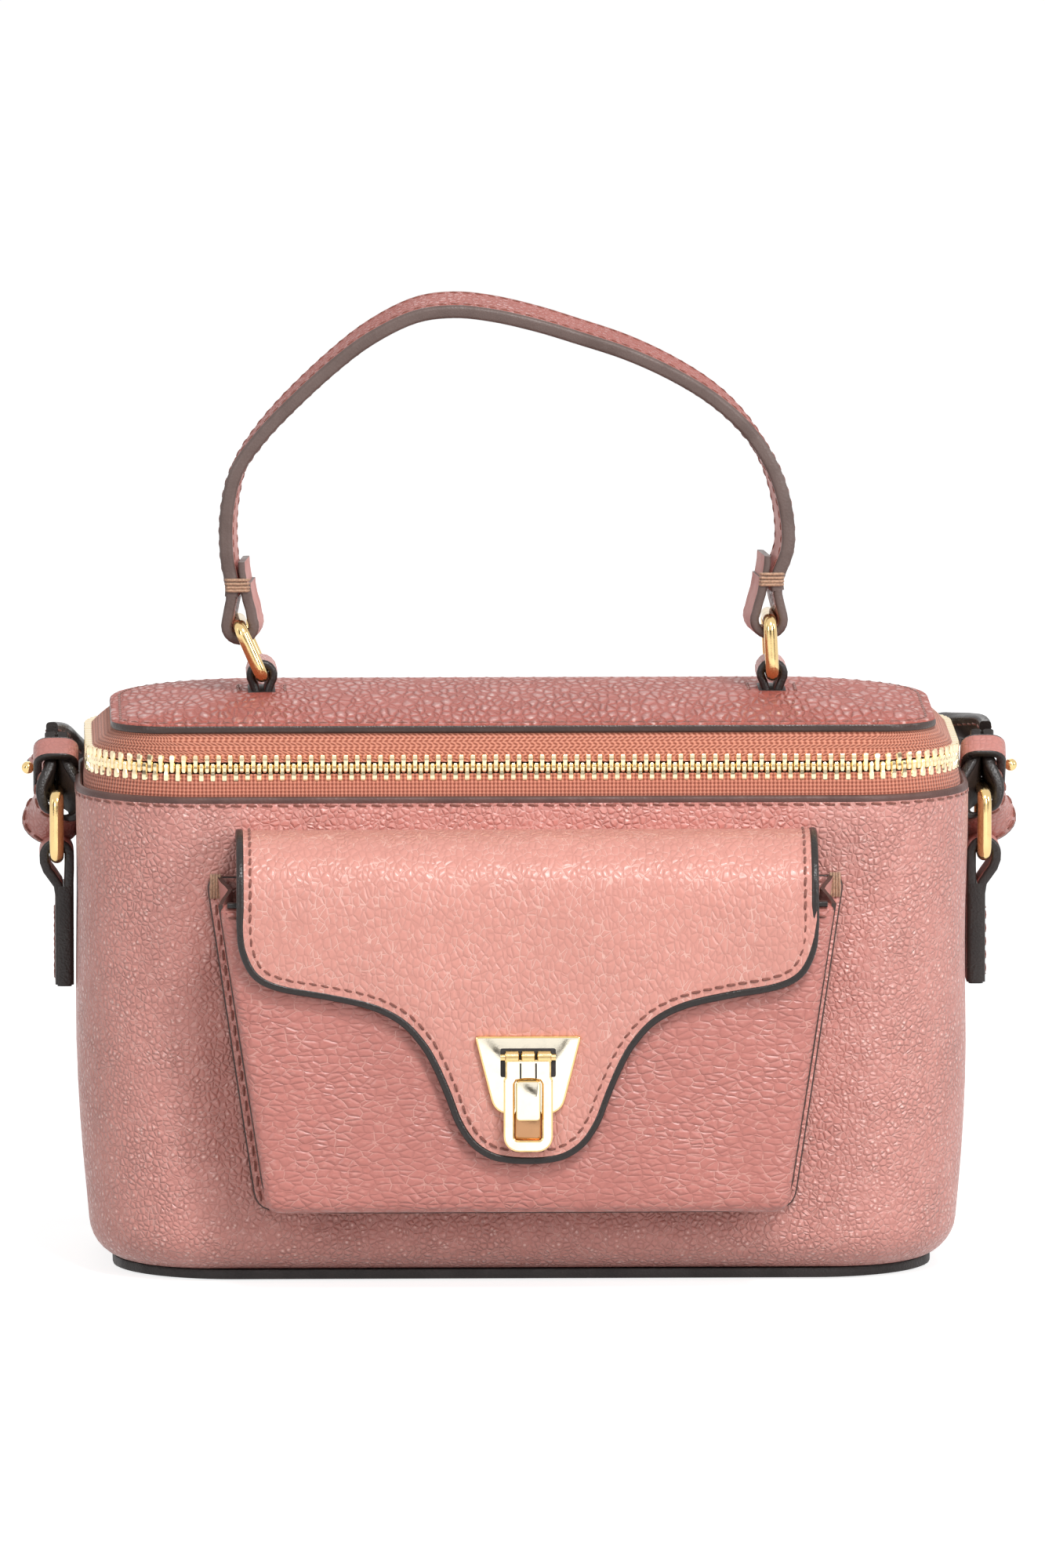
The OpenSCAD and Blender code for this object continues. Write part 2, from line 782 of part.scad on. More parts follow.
module lock_loop() {
    round_r = loop_w / 2;
    slot_w = 6.3;
    slot_top = catch_top + 0.7;
    low = window_top - loop_l;
    slot_r = slot_w / 2;
    color(gold)
        difference() {
            union() {
                upright(loop_back - loop_t, loop_t)
                    difference() {
                        union() {
                            translate([0, low + round_r]) circle(round_r);
                            translate([-loop_w / 2, low + round_r]) square([loop_w, pin_z - low - round_r]);
                        }
                        translate([0, low + round_r]) circle(slot_r);
                        translate([-slot_r, low + round_r]) square([slot_w, slot_top - low - round_r]);
                    }
                translate([0, pin_y, pin_z]) rotate([0, 90, 0]) cylinder(h = loop_w, d = knuckle_d, center = true);
            }
            translate([0, pin_y, pin_z]) rotate([0, 90, 0]) cylinder(h = loop_w + 1, d = pin_d + 0.3, center = true);
        }
}

module lock_catch() {
    foot = 0.9;
    reach = 6.8;
    color(gold) {
        upright(panel_y - foot, foot)
            translate([-catch_w / 2 - 0.1, catch_top - catch_h - 0.1]) square([catch_w + 0.2, catch_h + 0.2]);
        translate([-catch_w / 2, panel_y - reach, catch_top - catch_h]) cube([catch_w, reach, catch_h]);
    }
}

// ---------------------------------------------------------------- side tabs, rings and strap ends

side_t = 2;
side_r = side_wire / 2 + ring_play + side_t;
side_x = half_w + clear + glue + side_r;
side_inside = strap_w + 1;

module side_tab() {
    leg_x = 2 * side_t + 0.2 - side_r;
    low = side_low - side_z;
    color(edge_brown)
        translate([side_x, 0, side_z])
            rotate([90, 0, 0])
                linear_extrude(strap_w, center = true)
                    difference() {
                        union() {
                            circle(side_r);
                            polygon([[-side_r, 0], [-side_r, low], [leg_x, low], [leg_x, -1.9 * side_r],
                                     [side_r * 0.94, -side_r * 0.34]]);
                        }
                        circle(side_wire / 2 + ring_play);
                    }
}

module side_tab_left() { mirror([1, 0, 0]) side_tab(); }

module side_tab_right() { side_tab(); }

module side_ring() {
    color(gold) translate([side_x, 0, side_z]) link(side_wire, side_gap, side_inside);
}

module side_ring_left() { mirror([1, 0, 0]) side_ring(); }

module side_ring_right() { side_ring(); }

end_bore = side_wire / 2 + ring_play;
end_h = 9;
end_leg = 2 * strap_t + 0.4;
top_bar_z = side_z + side_gap;

module strap_end() {
    color(rose)
        translate([side_x, 0, top_bar_z])
            rotate([0, 180, 0])
                folded_loop(end_bore, side_r - end_bore, end_leg, end_h, strap_w);
}

module strap_end_left() { mirror([1, 0, 0]) strap_end(); }

module strap_end_right() { strap_end(); }

keeper_t = 1.2;
keeper_w = 4;
keeper_z = top_bar_z + end_h - keeper_w - 0.5;

module strap_keeper() {
    inner_x = end_leg + 2 * glue;
    inner_y = strap_w + 2 * glue;
    color(rose)
        translate([side_x, 0, keeper_z + keeper_w / 2])
            difference() {
                cube([inner_x + 2 * keeper_t, inner_y + 2 * keeper_t, keeper_w], center = true);
                cube([inner_x, inner_y, keeper_w + 1], center = true);
            }
}

module strap_keeper_left() { mirror([1, 0, 0]) strap_keeper(); }

module strap_keeper_right() { strap_keeper(); }

module strap_stud() {
    ball = 3;
    neck = 1.4;
    outside = side_x + end_leg / 2 + glue + keeper_t;
    color(gold)
        translate([outside + glue, 0, keeper_z + keeper_w / 2])
            rotate([0, 90, 0]) {
                cylinder(h = neck, d = neck);
                translate([0, 0, neck + ball / 2 - 0.3]) sphere(d = ball);
            }
}

module strap_stud_left() { mirror([1, 0, 0]) strap_stud(); }

module strap_stud_right() { strap_stud(); }

// ---------------------------------------------------------------- shoulder strap

// Each row is a point of the strap's middle line and the direction of its width there
left_rows = [
    [[-104, 8.3, 112], [0, 0.7, -0.7]],
    [[-104.3, 14, 112.8], [-0.1, 0.6, -0.8]],
    [[-104.2, 21, 112], [-0.4, 0.45, -0.8]],
    [[-103.9, 29, 110], [-0.75, 0.3, -0.6]],
    [[-101.3, 38, 107], [-0.9, 0.2, -0.35]],
    [[-97.5, 46, 103.5], [-1, 0.1, -0.15]],
    [[-93.5, 51.5, 97], [-1, 0.1, 0]],
    [[-90, 55, 86], [-1, 0.4, 0]],
    [[-88.5, 56.5, 70], [-0.8, 0.8, 0]],
    [[-88.5, 57.5, 50], [-0.4, 1, 0]],
    [[-88.5, 58, 30], [0, 1, 0]],
    [[-87.5, 58, 17], [0, 1, 0]],
    [[-83, 58, 9.5], [0, 1, 0.2]],
    [[-74, 58, 7], [0, 1, 0.7]],
    [[-60, 58, 7], [0, 0.5, 1]],
    [[-46, 58, 7], [0, 0, 1]],
    [[0, 58, 7], [0, 0, 1]],
    [[40, 58, 7], [0, 0, 1]],
    [[72, 58, 7], [0, 0, 1]],
    [[78, 61, 7], [0, 0, 1]],
    [[80, 65, 7], [0, 0, 1]],
    [[78, 69, 7], [0, 0, 1]],
    [[72, 72, 7], [0, 0, 1]],
    [[0, 72, 7], [0, 0, 1]],
    [[-72, 72, 7], [0, 0, 1]],
    [[-78, 75, 7], [0, 0, 1]],
    [[-80, 79, 7], [0, 0, 1]],
    [[-78, 83, 7], [0, 0, 1]],
    [[-72, 86, 7], [0, 0, 1]],
    [[-36, 86, 7], [0, 0, 1]],
    [[0, 86, 7], [0, 0, 1]]];

right_rows = [
    [[104, 8.3, 112], [0, 0.7, -0.7]],
    [[103.9, 15, 113.4], [0.2, 0.5, -0.85]],
    [[102.6, 24, 113.9], [0.6, 0.2, -0.75]],
    [[100.2, 34, 114.2], [0.85, 0, -0.5]],
    [[96.4, 43, 112.6], [1, 0, -0.2]],
    [[92.8, 49.8, 108], [1, 0, 0]],
    [[90.3, 53.5, 101], [1, 0, 0]],
    [[88.5, 55.5, 89], [1, 0, 0]],
    [[87.8, 56.5, 60], [1, 0, 0]],
    [[88, 58, 30], [1, 0, 0]],
    [[89, 62, 15], [1, 0, 0]],
    [[91, 70, 8.5], [1, 0, 0.4]],
    [[93, 80, 7], [0.8, 0, 1]],
    [[94.5, 92, 7], [0.2, 0, 1]],
    [[95, 104, 7], [0, 0, 1]],
    [[90, 111, 7], [0, 0, 1]],
    [[80, 114, 7], [0, 0, 1]],
    [[40, 114, 7], [0, 0, 1]],
    [[0, 114, 7], [0, 0, 1]],
    [[-72, 114, 7], [0, 0, 1]],
    [[-78, 111, 7], [0, 0, 1]],
    [[-80, 107, 7], [0, 0, 1]],
    [[-78, 103, 7], [0, 0, 1]],
    [[-72, 100, 7], [0, 0, 1]],
    [[0, 100, 7], [0, 0, 1]],
    [[72, 100, 7], [0, 0, 1]],
    [[78, 97, 7], [0, 0, 1]],
    [[80, 93, 7], [0, 0, 1]],
    [[78, 89, 7], [0, 0, 1]],
    [[72, 86, 7], [0, 0, 1]],
    [[36, 86, 7], [0, 0, 1]],
    [[0.1, 86, 7], [0, 0, 1]]];

module strap_half(rows) {
    steps = 2;
    route = spline([for (row = rows) row[0]], steps);
    widths = spline([for (row = rows) row[1]], steps);
    color(rose) sweep(strap_sections(route, widths, strap_w, -strap_t / 2, strap_t / 2));
}

module strap_left() { strap_half(left_rows); }

module strap_right() { strap_half(right_rows); }

// ---------------------------------------------------------------- the whole object

base_panel();
body_shell();
body_board();
body_lining();
lower_zip_tape();
lower_zip_teeth();
hinge_panel_lower();
zip_tail_left();
zip_tail_right();
pocket_back_panel();
pocket_gusset();
pocket_front_panel();
flap_root();
lock_catch();
side_tab_left();
side_tab_right();
lid_panel();
lid_board();
lid_lining();
upper_zip_tape();
upper_zip_teeth();
hinge_panel_upper();
handle_tab_left();
handle_tab_right();
handle_ring_left();
handle_ring_right();
handle_strap();
handle_backing();
handle_end_left();
handle_end_right();
pocket_flap();
flap_lining();
lock_plate();
lock_pin();
lock_loop();
zip_slider();
zip_puller();
side_ring_left();
side_ring_right();
strap_end_left();
strap_end_right();
strap_keeper_left();
strap_keeper_right();
strap_stud_left();
strap_stud_right();
strap_left();
strap_right();
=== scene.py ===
# Looks of a small zip-round vanity case in grained leather. Lengths in this script are millimetres unless noted.
from math import copysign, cos, hypot, pi, radians, sin, tan

import bmesh
import bpy
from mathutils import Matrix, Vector


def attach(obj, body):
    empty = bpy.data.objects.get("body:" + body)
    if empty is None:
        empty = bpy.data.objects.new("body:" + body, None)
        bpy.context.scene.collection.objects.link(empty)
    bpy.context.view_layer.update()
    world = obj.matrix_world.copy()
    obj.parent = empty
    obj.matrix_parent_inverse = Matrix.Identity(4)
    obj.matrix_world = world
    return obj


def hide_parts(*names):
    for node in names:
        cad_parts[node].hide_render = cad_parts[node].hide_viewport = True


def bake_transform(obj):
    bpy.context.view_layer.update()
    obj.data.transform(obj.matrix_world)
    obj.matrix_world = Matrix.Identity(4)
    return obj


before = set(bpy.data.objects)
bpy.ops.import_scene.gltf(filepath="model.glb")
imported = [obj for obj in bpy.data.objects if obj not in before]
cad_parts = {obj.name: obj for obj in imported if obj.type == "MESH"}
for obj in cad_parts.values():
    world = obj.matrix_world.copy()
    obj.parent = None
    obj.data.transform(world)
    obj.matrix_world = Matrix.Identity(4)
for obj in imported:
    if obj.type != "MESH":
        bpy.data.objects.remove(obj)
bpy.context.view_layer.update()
scene = bpy.context.scene
MM = 0.001
TAU = 2 * pi
UP, FORWARD = Vector((0, 0, 1)), Vector((0, -1, 0))

# ---- sizes shared with the solids
HALF_W, HALF_D, RIM_Z = 99, 48, 108.5
FRONT_R, REAR_R = 27, 30
CHAIN_HW, CHAIN_HD, CHAIN_RF, CHAIN_RR = 96.1, 45.1, 24.1, 28
CHAIN_Z, CHAIN_W, PITCH = 114.6, 5.8, 2.55
TEETH_LOW, TEETH_TOP = CHAIN_Z - CHAIN_W / 2, CHAIN_Z + CHAIN_W / 2
TAIL_Y, TAIL_GAP = 35.3, 1.1
LID_HW, LID_HD, LID_RF, LID_RR = 91.3, 44, 12, 34
LID_Z, LID_TOP, CROWN = 122, 124, 3
BAR_Z = 130.6
RING_LEFT_X, RING_RIGHT_X = -57.5, 56
LEAN_LEFT, LEAN_RIGHT = 24, 3
WIRE, BAR_GAP = 3, 12.1
RING_INSIDE = 14
GRIP_W = 13
PANEL_Y, FLAP_Y, FLAP_HALF, TIP_Z = -70, -73, 63.5, 30.5
CREST_Z = 102.2
PLATE_Z, PLATE_H = 58.2, 16.9
PIN_Y, PIN_Z = -74.8, 54
SIDE_X, SIDE_Z, SIDE_GAP, SIDE_WIRE = 103.2, 90.3, 13.4, 3.2
STRAP_W, STRAP_T = 13, 2.6

# ---- camera
IMAGE_H = 2000
PX_PER_MM = 5.75
ELEVATION, AZIMUTH = radians(7), radians(-1.4)
DISTANCE = 5000
TARGET = Vector((0.1, -20, 107.8))

back = Vector((sin(AZIMUTH) * cos(ELEVATION), -cos(AZIMUTH) * cos(ELEVATION), sin(ELEVATION)))
camera = bpy.data.objects.new("camera", bpy.data.cameras.new("camera"))
scene.collection.objects.link(camera)
camera.data.lens = camera.data.sensor_width * DISTANCE / (IMAGE_H / PX_PER_MM)
camera.data.clip_start, camera.data.clip_end = 0.1, 50
camera.location = (TARGET + back * DISTANCE) * MM
camera.rotation_mode = "QUATERNION"
camera.rotation_quaternion = (-back).to_track_quat("-Z", "Y")
scene.camera = camera
scene.view_settings.view_transform = "Standard"


# ---- material helpers
def srgb(*colours):
    """Colours in sRGB steps of 255 as linear colours."""
    def lin(v):
        v /= 255
        return v / 12.92 if v <= 0.04045 else ((v + 0.055) / 1.055) ** 2.4
    return [(*map(lin, colour), 1) for colour in colours]


def darker(colour, share):
    return tuple(c * share for c in colour[:3]) + (1,)


def put(tree, socket, value):
    """Sets a socket, or links another node's output to it."""
    if isinstance(value, bpy.types.NodeSocket):
        tree.links.new(value, socket)
    else:
        socket.default_value = value


def node(tree, kind, *values, settings=(), **named):
    """A new shader node with its inputs given by place or by name; settings are pairs set before them."""
    n = tree.nodes.new("ShaderNode" + kind)
    for key, value in settings:
        setattr(n, key, value)
    for place, value in enumerate(values):
        put(tree, n.inputs[place], value)
    for name, value in named.items():
        put(tree, n.inputs[name.replace("_", " ")], value)
    return n


class Shader:
    """One Principled material and short ways to add nodes to it."""

    def __init__(self, name, **values):
        self.mat = bpy.data.materials.new(name)
        self.mat.use_nodes = True
        self.tree = self.mat.node_tree
        self.wire(**values)

    def node(self, kind, *values, **named):
        return node(self.tree, kind, *values, **named)

    def math(self, op, a, b=0):
        return self.node("Math", a, b, settings=[("operation", op)]).outputs[0]

    def times(self, a, b):
        return self.math("MULTIPLY", a, b)

    def plus(self, a, b):
        return self.math("ADD", a, b)

    def ramp(self, value, low, high, to_low=0, to_high=1):
        return self.node("MapRange", settings=[("interpolation_type", "SMOOTHSTEP")], Value=value, From_Min=low,
                         From_Max=high, To_Min=to_low, To_Max=to_high).outputs["Result"]

    def mix(self, factor, a, b):
        return self.node("Mix", settings=[("data_type", "RGBA")], Factor=factor, A=a, B=b).outputs["Result"]

    def coords(self, kind="Object"):
        return self.node("TexCoord").outputs[kind]

    def noise(self, scale, detail=2, output="Fac"):
        return self.node("TexNoise", Vector=self.coords(), Scale=scale, Detail=detail).outputs[output]

    def cells(self, scale, feature, vector):
        return self.node("TexVoronoi", settings=[("feature", feature)], Vector=vector, Scale=scale).outputs[0]

    def warped(self, scale, amount):
        """Object coordinates pushed about by noise."""
        return self.node("VectorMath", self.noise(scale, output="Color"), (amount, amount, amount), self.coords(),
                         settings=[("operation", "MULTIPLY_ADD")]).outputs[0]

    def bump(self, height, distance, strength=1, **after):
        return self.node("Bump", Strength=strength, Distance=distance, Height=height, **after).outputs[0]

    def wire(self, **sockets):
        for key, value in sockets.items():
            put(self.tree, self.tree.nodes["Principled BSDF"].inputs[key.replace("_", " ")], value)
        return self.mat


def grained(name, colour, line, grain=760, depth=0.00032, rough=(0.32, 0.58), stretch=(1, 1, 1),
            lines=0.3, painted_glints=0.3, coat=0.35):
    """Pebbled leather: rounded grains of uneven size, with painted shade down between them, a painted sheen along the
    creases and painted glints on the grain tops, both in the pale line colour.
    """
    colour, line = srgb(colour, line)
    s = Shader(name, Specular_IOR_Level=0.2 + 0.7 * coat, Coat_Weight=coat, Coat_Roughness=0.22)
    where = s.node("VectorMath", s.warped(200, 0.0011), stretch, settings=[("operation", "MULTIPLY")]).outputs[0]
    edge = s.cells(grain, "DISTANCE_TO_EDGE", where)
    centre = s.cells(grain, "F1", where)
    pebble = s.math("POWER", s.ramp(edge, 0, 0.4), 0.55)
    patchy = s.ramp(s.noise(90), 0.35, 0.65, 0.6, 1)
    height = s.plus(s.times(pebble, patchy), s.times(s.noise(4200), 0.03))
    # Mask of thin crease lines, where a sheen is painted in the pale line colour.
    painted_sheen_creases = s.times(s.ramp(edge, 0, 0.07, 1, 0), s.ramp(s.noise(420), 0.45, 0.6))
    # Mask of the grain tops, where glints are painted in the pale line colour.
    top = s.times(s.ramp(centre, 0.14, 0.3, 1, 0), s.ramp(s.noise(330), 0.42, 0.6))
    tone = s.mix(s.ramp(s.noise(38, 3), 0.3, 0.7, 0, 0.4), colour, darker(colour, 0.86))
    # Painted shade: darker down between the grains.
    tone = s.mix(s.times(s.ramp(pebble, 0.1, 0.6, 1, 0), 0.3), tone, darker(colour, 0.7))
    # Painted sheen along the creases, then painted glints on the grain tops.
    tone = s.mix(s.times(painted_sheen_creases, lines), tone, line)
    tone = s.mix(s.times(top, painted_glints), tone, line)
    roughness = s.ramp(pebble, 0.2, 0.95, rough[1], rough[0])
    normal = s.bump(height, depth, Normal=s.bump(s.noise(55), 0.0016, 0.4))
    return s.wire(Base_Color=tone, Roughness=roughness, Normal=normal, Coat_Normal=normal)


def smooth_leather(name, colour, dark, depth=0.00008, rough=0.5):
    """Plain leather or painted edge: fine pores and slow changes of tone."""
    colour, dark = srgb(colour, dark)
    s = Shader(name, Specular_IOR_Level=0.4)
    pores = s.cells(1900, "F1", s.warped(900, 0.0004))
    broad = s.noise(160, 3)
    tone = s.mix(s.ramp(broad, 0.35, 0.7, 0, 0.6), colour, dark)
    return s.wire(Base_Color=tone, Roughness=s.ramp(broad, 0.3, 0.7, rough - 0.06, rough + 0.08),
                  Normal=s.bump(pores, depth, 0.6))


def metal(name, colour, rough):
    """Polished plating with faint wear; its colour is linear."""
    s = Shader(name, Metallic=1)
    wear = s.noise(420, 4)
    tone = s.mix(s.ramp(wear, 0.45, 0.75, 0, 0.25), colour, darker(colour, 0.8))
    return s.wire(Base_Color=tone, Roughness=s.ramp(wear, 0.3, 0.8, rough, rough + 0.1),
                  Normal=s.bump(s.noise(2600), 0.00002, 0.35))


def woven(name, colour, dark, twill=False):
    """Woven tape or lining, laid out by the piece's own lengths along and across, in millimetres."""
    colour, dark = srgb(colour, dark)
    s = Shader(name, Sheen_Weight=0.25, Sheen_Roughness=0.5, Specular_IOR_Level=0.25)
    along, over = s.node("SeparateXYZ", s.coords("UV")).outputs[:2]
    if twill:
        chevron = s.math("PINGPONG", over, 1.15)
        phase = s.plus(s.times(along, 0.85), s.times(chevron, 0.75))
    else:
        phase = s.times(along, 1.15)
    warp = s.math("SINE", s.times(phase, TAU))
    weft = s.math("SINE", s.times(over, TAU * 1.15))
    height = s.plus(s.times(warp, 0.3), s.times(weft, 0.22))
    height = s.plus(height, 0.5)
    fibre = s.noise(3800, 3)
    # Painted shade: darker where the weave dips between the threads.
    tone = s.mix(s.ramp(height, 0.12, 0.8), dark, colour)
    tone = s.mix(s.times(fibre, 0.25), tone, dark)
    height = s.plus(height, s.times(fibre, 0.3))
    return s.wire(Base_Color=tone, Roughness=0.85, Normal=s.bump(height, 0.00026))


def thread(name, colour):
    """Twisted sewing thread."""
    colour, = srgb(colour)
    s = Shader(name, Specular_IOR_Level=0.35, Sheen_Weight=0.2)
    twist = s.noise(2400)
    tone = s.mix(s.ramp(twist, 0.3, 0.7), colour, darker(colour, 0.6))
    return s.wire(Base_Color=tone, Roughness=0.6, Normal=s.bump(twist, 0.00008, 0.6))


ROSE = grained("rose_grain", (210, 143, 133), (255, 216, 206), painted_glints=0.6)
# The lid's copy is darker and redder than the rest, painted shade that offsets the pale sheen its top takes at a
# grazing view.
LID_ROSE_PAINTED_SHADE = grained("rose_grain_lid_painted_shade", (181, 98, 86), (250, 212, 202), grain=520, depth=0.0005,
                   rough=(0.3, 0.55), stretch=(1, 0.3, 1), lines=0, painted_glints=0.5, coat=0)
FLAP_ROSE = grained("rose_grain_flap", (216, 148, 135), (252, 210, 197), grain=600, depth=0.00016,
                    stretch=(1.2, 1, 0.8), lines=0.5, painted_glints=0)
POCKET_ROSE = grained("rose_grain_pocket", (194, 121, 111), (234, 180, 168), grain=580, depth=0.00026,
                      stretch=(0.62, 1, 1.2), lines=0.5, painted_glints=0.2)
PLAIN_STRAP = grained("rose_strap", (194, 128, 119), (226, 172, 162), grain=700, depth=0.00012,
                      lines=0.15, painted_glints=0)
# The handle's copy is darker than the rest, painted shade that offsets the pale sheen on its top face.
HANDLE_ROSE_PAINTED_SHADE = grained("rose_handle_painted_shade", (176, 104, 95), (214, 156, 146), grain=700, depth=0.00014,
                      lines=0.2, painted_glints=0, coat=0)
PLAIN = smooth_leather("rose_plain", (205, 146, 138), (186, 122, 114))
# Edge paint: the near-black copy below is its own colour; the other three are lighter copies, painted light for edges
# facing the lamps, for the lid, hinge and pocket back, for the rim and for the handle.
EDGE_PAINT_LIT = smooth_leather("edge_paint", (68, 51, 46), (50, 38, 34), rough=0.34)
EDGE_DARK = smooth_leather("edge_paint_dark", (42, 35, 33), (30, 25, 24), rough=0.32)
EDGE_PAINT_LIT_WARM = smooth_leather("edge_paint_lit_warm", (96, 66, 60), (70, 44, 40), rough=0.45)
EDGE_PAINT_LIT_GREY = smooth_leather("edge_paint_lit_grey", (104, 87, 82), (84, 68, 63), rough=0.45)
# Near-black: the base plate's colour, and painted shade in the lid's slots, in the lock's window and under the gaps
# between the hasp's knuckles.
NEAR_BLACK_BASE_AND_PAINTED_SHADE = smooth_leather("near_black_base_and_painted_shade", (40, 34, 33), (26, 22, 21), depth=0.00015, rough=0.55)
SUEDE = smooth_leather("flap_suede", (120, 92, 86), (96, 72, 68), depth=0.0002, rough=0.85)
STRAP_BACK = smooth_leather("strap_back", (70, 58, 54), (52, 42, 40), rough=0.6)
GOLD = metal("gold", (0.83, 0.6, 0.28, 1), 0.12)
PALE_GOLD = metal("pale_gold", (0.94, 0.78, 0.52, 1), 0.16)
LOCK_GOLD = metal("lock_gold", (1, 0.91, 0.74, 1), 0.12)
# A darker copy of the gold, painted shade for the metal low in the hasp's slot.
DARKER_GOLD_PAINTED_SHADE = metal("shaded_gold", (0.5, 0.27, 0.14, 1), 0.2)
TAPE = woven("zip_tape", (232, 156, 130), (158, 86, 66), twill=True)
TAPE_LOW = woven("zip_tape_low", (226, 148, 124), (148, 80, 62))
CLOTH = woven("lining_cloth", (190, 122, 104), (150, 90, 74))
THREAD = thread("thread", (146, 90, 78))
BAR_THREAD = thread("bar_thread", (196, 156, 128))


# ---- mesh helpers
def heading(route, i):
    """Direction of a route at its point i."""
    return (route[min(i + 1, len(route) - 1)] - route[max(i - 1, 0)]).normalized()


def frames_along(route, widths):
    """Each point of a strap with the directions across it and out of its face."""
    out = []
    for i, p in enumerate(route):
        d = heading(route, i)
        across = (widths[i] - widths[i].dot(d) * d).normalized()
        out.append((p, across, across.cross(d)))
    return out


class Build:
    """Collects one piece's vertices, faces, materials and layout lengths."""

    def __init__(self, name, *mats):
        self.name, self.mats = name, mats
        self.verts, self.faces, self.face_mats, self.uvs = [], [], [], []

    def add(self, points):
        start = len(self.verts)
        self.verts.extend(tuple(p) for p in points)
        return start

    def face(self, index, mat=0, uv=None):
        self.faces.append(tuple(index))
        self.face_mats.append(mat)
        self.uvs.append(uv or [(0, 0)] * len(index))

    def band(self, a, b, mats, closed=True):
        """Quads between two rows of points that start at a and b; mats holds one material per quad."""
        n = len(mats) + (not closed)
        for i, mat in enumerate(mats):
            k = (i + 1) % n
            self.face([a + i, a + k, b + k, b + i], mat)

    def cap(self, start, n, mat, flip=False):
        """One face over n points that start at start."""
        self.face([start + i for i in (range(n - 1, -1, -1) if flip else range(n))], mat)

    def rings(self, rings, mats, closed=True, us=None, vs=None, caps=(False, False)):
        """Quads through rings of equal length; mats holds one material per band."""
        n, first = len(rings[0]), len(self.faces)
        width = n if closed else n - 1
        starts = [self.add(r) for r in rings]
        for a, b, mat in zip(starts, starts[1:], mats):
            self.band(a, b, [mat] * width, closed)
        if us:
            spans = list(zip(us, us[1:] + [us[-1] + us[1] - us[0]]))[:width]
            self.uvs[first:] = [[(u0, v0), (u1, v0), (u1, v1), (u0, v1)]
                                for v0, v1 in zip(vs, vs[1:]) for u0, u1 in spans]
        if caps[0]:
            self.cap(starts[0], n, mats[0], flip=True)
        if caps[1]:
            self.cap(starts[-1], n, mats[-1])
        return starts

    def ribbon(self, route, widths, w, t, faces=(0, 1, 0), r=None, shift=0, ends=True):
        """A strap of width w and thickness t along route; faces are the materials of its outer face, edges and back."""
        r = min(t * 0.42, 0.9) if r is None else r
        half, low, high = w / 2, shift - t / 2, shift + t / 2
        across = [half - r - (2 * half - 2 * r) * k / 4 for k in range(5)]
        corners = [arc(x, y, r, [first + 22.5 * k for k in range(5)]) for x, y, first in (
            (r - half, high - r, 90), (r - half, low + r, 180), (half - r, low + r, 270), (half - r, high - r, 0))]
        profile = [(a, high) for a in across[:-1]] + corners[0] + corners[1]
        profile += [(-a, low) for a in across[1:-1]] + corners[2] + corners[3][:-1]
        kinds = [faces[0]] * 4 + [faces[1]] * 9 + [faces[2]] * 4 + [faces[1]] * 9
        route = [Vector(p) for p in route]
        widths = [Vector(v) for v in widths] if isinstance(widths, list) else [widths] * len(route)
        starts = [self.add(p + side * a + up * b for a, b in profile) for p, side, up in frames_along(route, widths)]
        for a, b in zip(starts, starts[1:]):
            self.band(a, b, kinds)
        if ends:
            self.cap(starts[0], len(profile), faces[1], flip=True)
            self.cap(starts[-1], len(profile), faces[1])

    def tube(self, route, r, mat=0, closed=False, sides=12):
        """A round wire or thread; r is one radius or one for each point."""
        route = [Vector(p) for p in route]
        n = len(route)
        starts, normal = [], None
        for i, p in enumerate(route):
            d = (route[(i + 1) % n] - route[i - 1]).normalized() if closed else heading(route, i)
            normal = normal or d.orthogonal().normalized()
            normal = (normal - normal.dot(d) * d).normalized()
            other = d.cross(normal)
            radius = r[i] if isinstance(r, (list, tuple)) else r
            starts.append(self.add(p + (normal * cos(TAU * k / sides) + other * sin(TAU * k / sides)) * radius
                                   for k in range(sides)))
        for a, b in zip(starts, starts[1:] + starts[:1] * closed):
            self.band(a, b, [mat] * sides)
        if not closed:
            self.cap(starts[0], sides, mat, flip=True)
            self.cap(starts[-1], sides, mat)

    def stitches(self, route, ups, mat=0, pitch=3.45, length=2.7, r=0.3, sink=0.12):
        """Separate stitches along a seam; ups is the direction away from the leather."""
        for p, d, up in resample(route, ups, pitch):
            a = d + d.cross(up).normalized() * 0.1
            foot, shoulder = -up * (r + sink), up * (r * 0.3 - sink)
            line = [p - a * length / 2 + foot, p - a * length * 0.36 + shoulder, p + up * (r * 0.75 - sink),
                    p + a * length * 0.36 + shoulder, p + a * length / 2 + foot]
            self.tube(line, [r * 0.5, r, r * 1.05, r, r * 0.5], mat, sides=6)

    def seams(self, frames, y, heights, **style):
        """Stitches at y on both sides of a strap's middle line, on its faces at the heights given."""
        for a in (-y, y):
            for u in heights:
                self.stitches([p + w * a + up * u for p, w, up in frames],
                              [up * copysign(1, u) for p, w, up in frames], 3, **style)

    def plate(self, outline, place, thickness, r, mats=(0, 1, 0)):
        """A flat piece with rounded edges; place turns (x, height, depth) into a point, depth growing inwards."""
        inner = inset(outline, r)
        middle = inset(outline, r * 0.3)
        steps = [(inner, 0), (middle, r * 0.3), (outline, r), (outline, thickness - r),
                 (middle, thickness - r * 0.3), (inner, thickness)]
        starts = self.rings([[place(x, z, depth) for x, z in line] for line, depth in steps], [mats[1]] * 5)
        self.cap(starts[0], len(outline), mats[0], flip=True)
        self.cap(starts[-1], len(outline), mats[2])

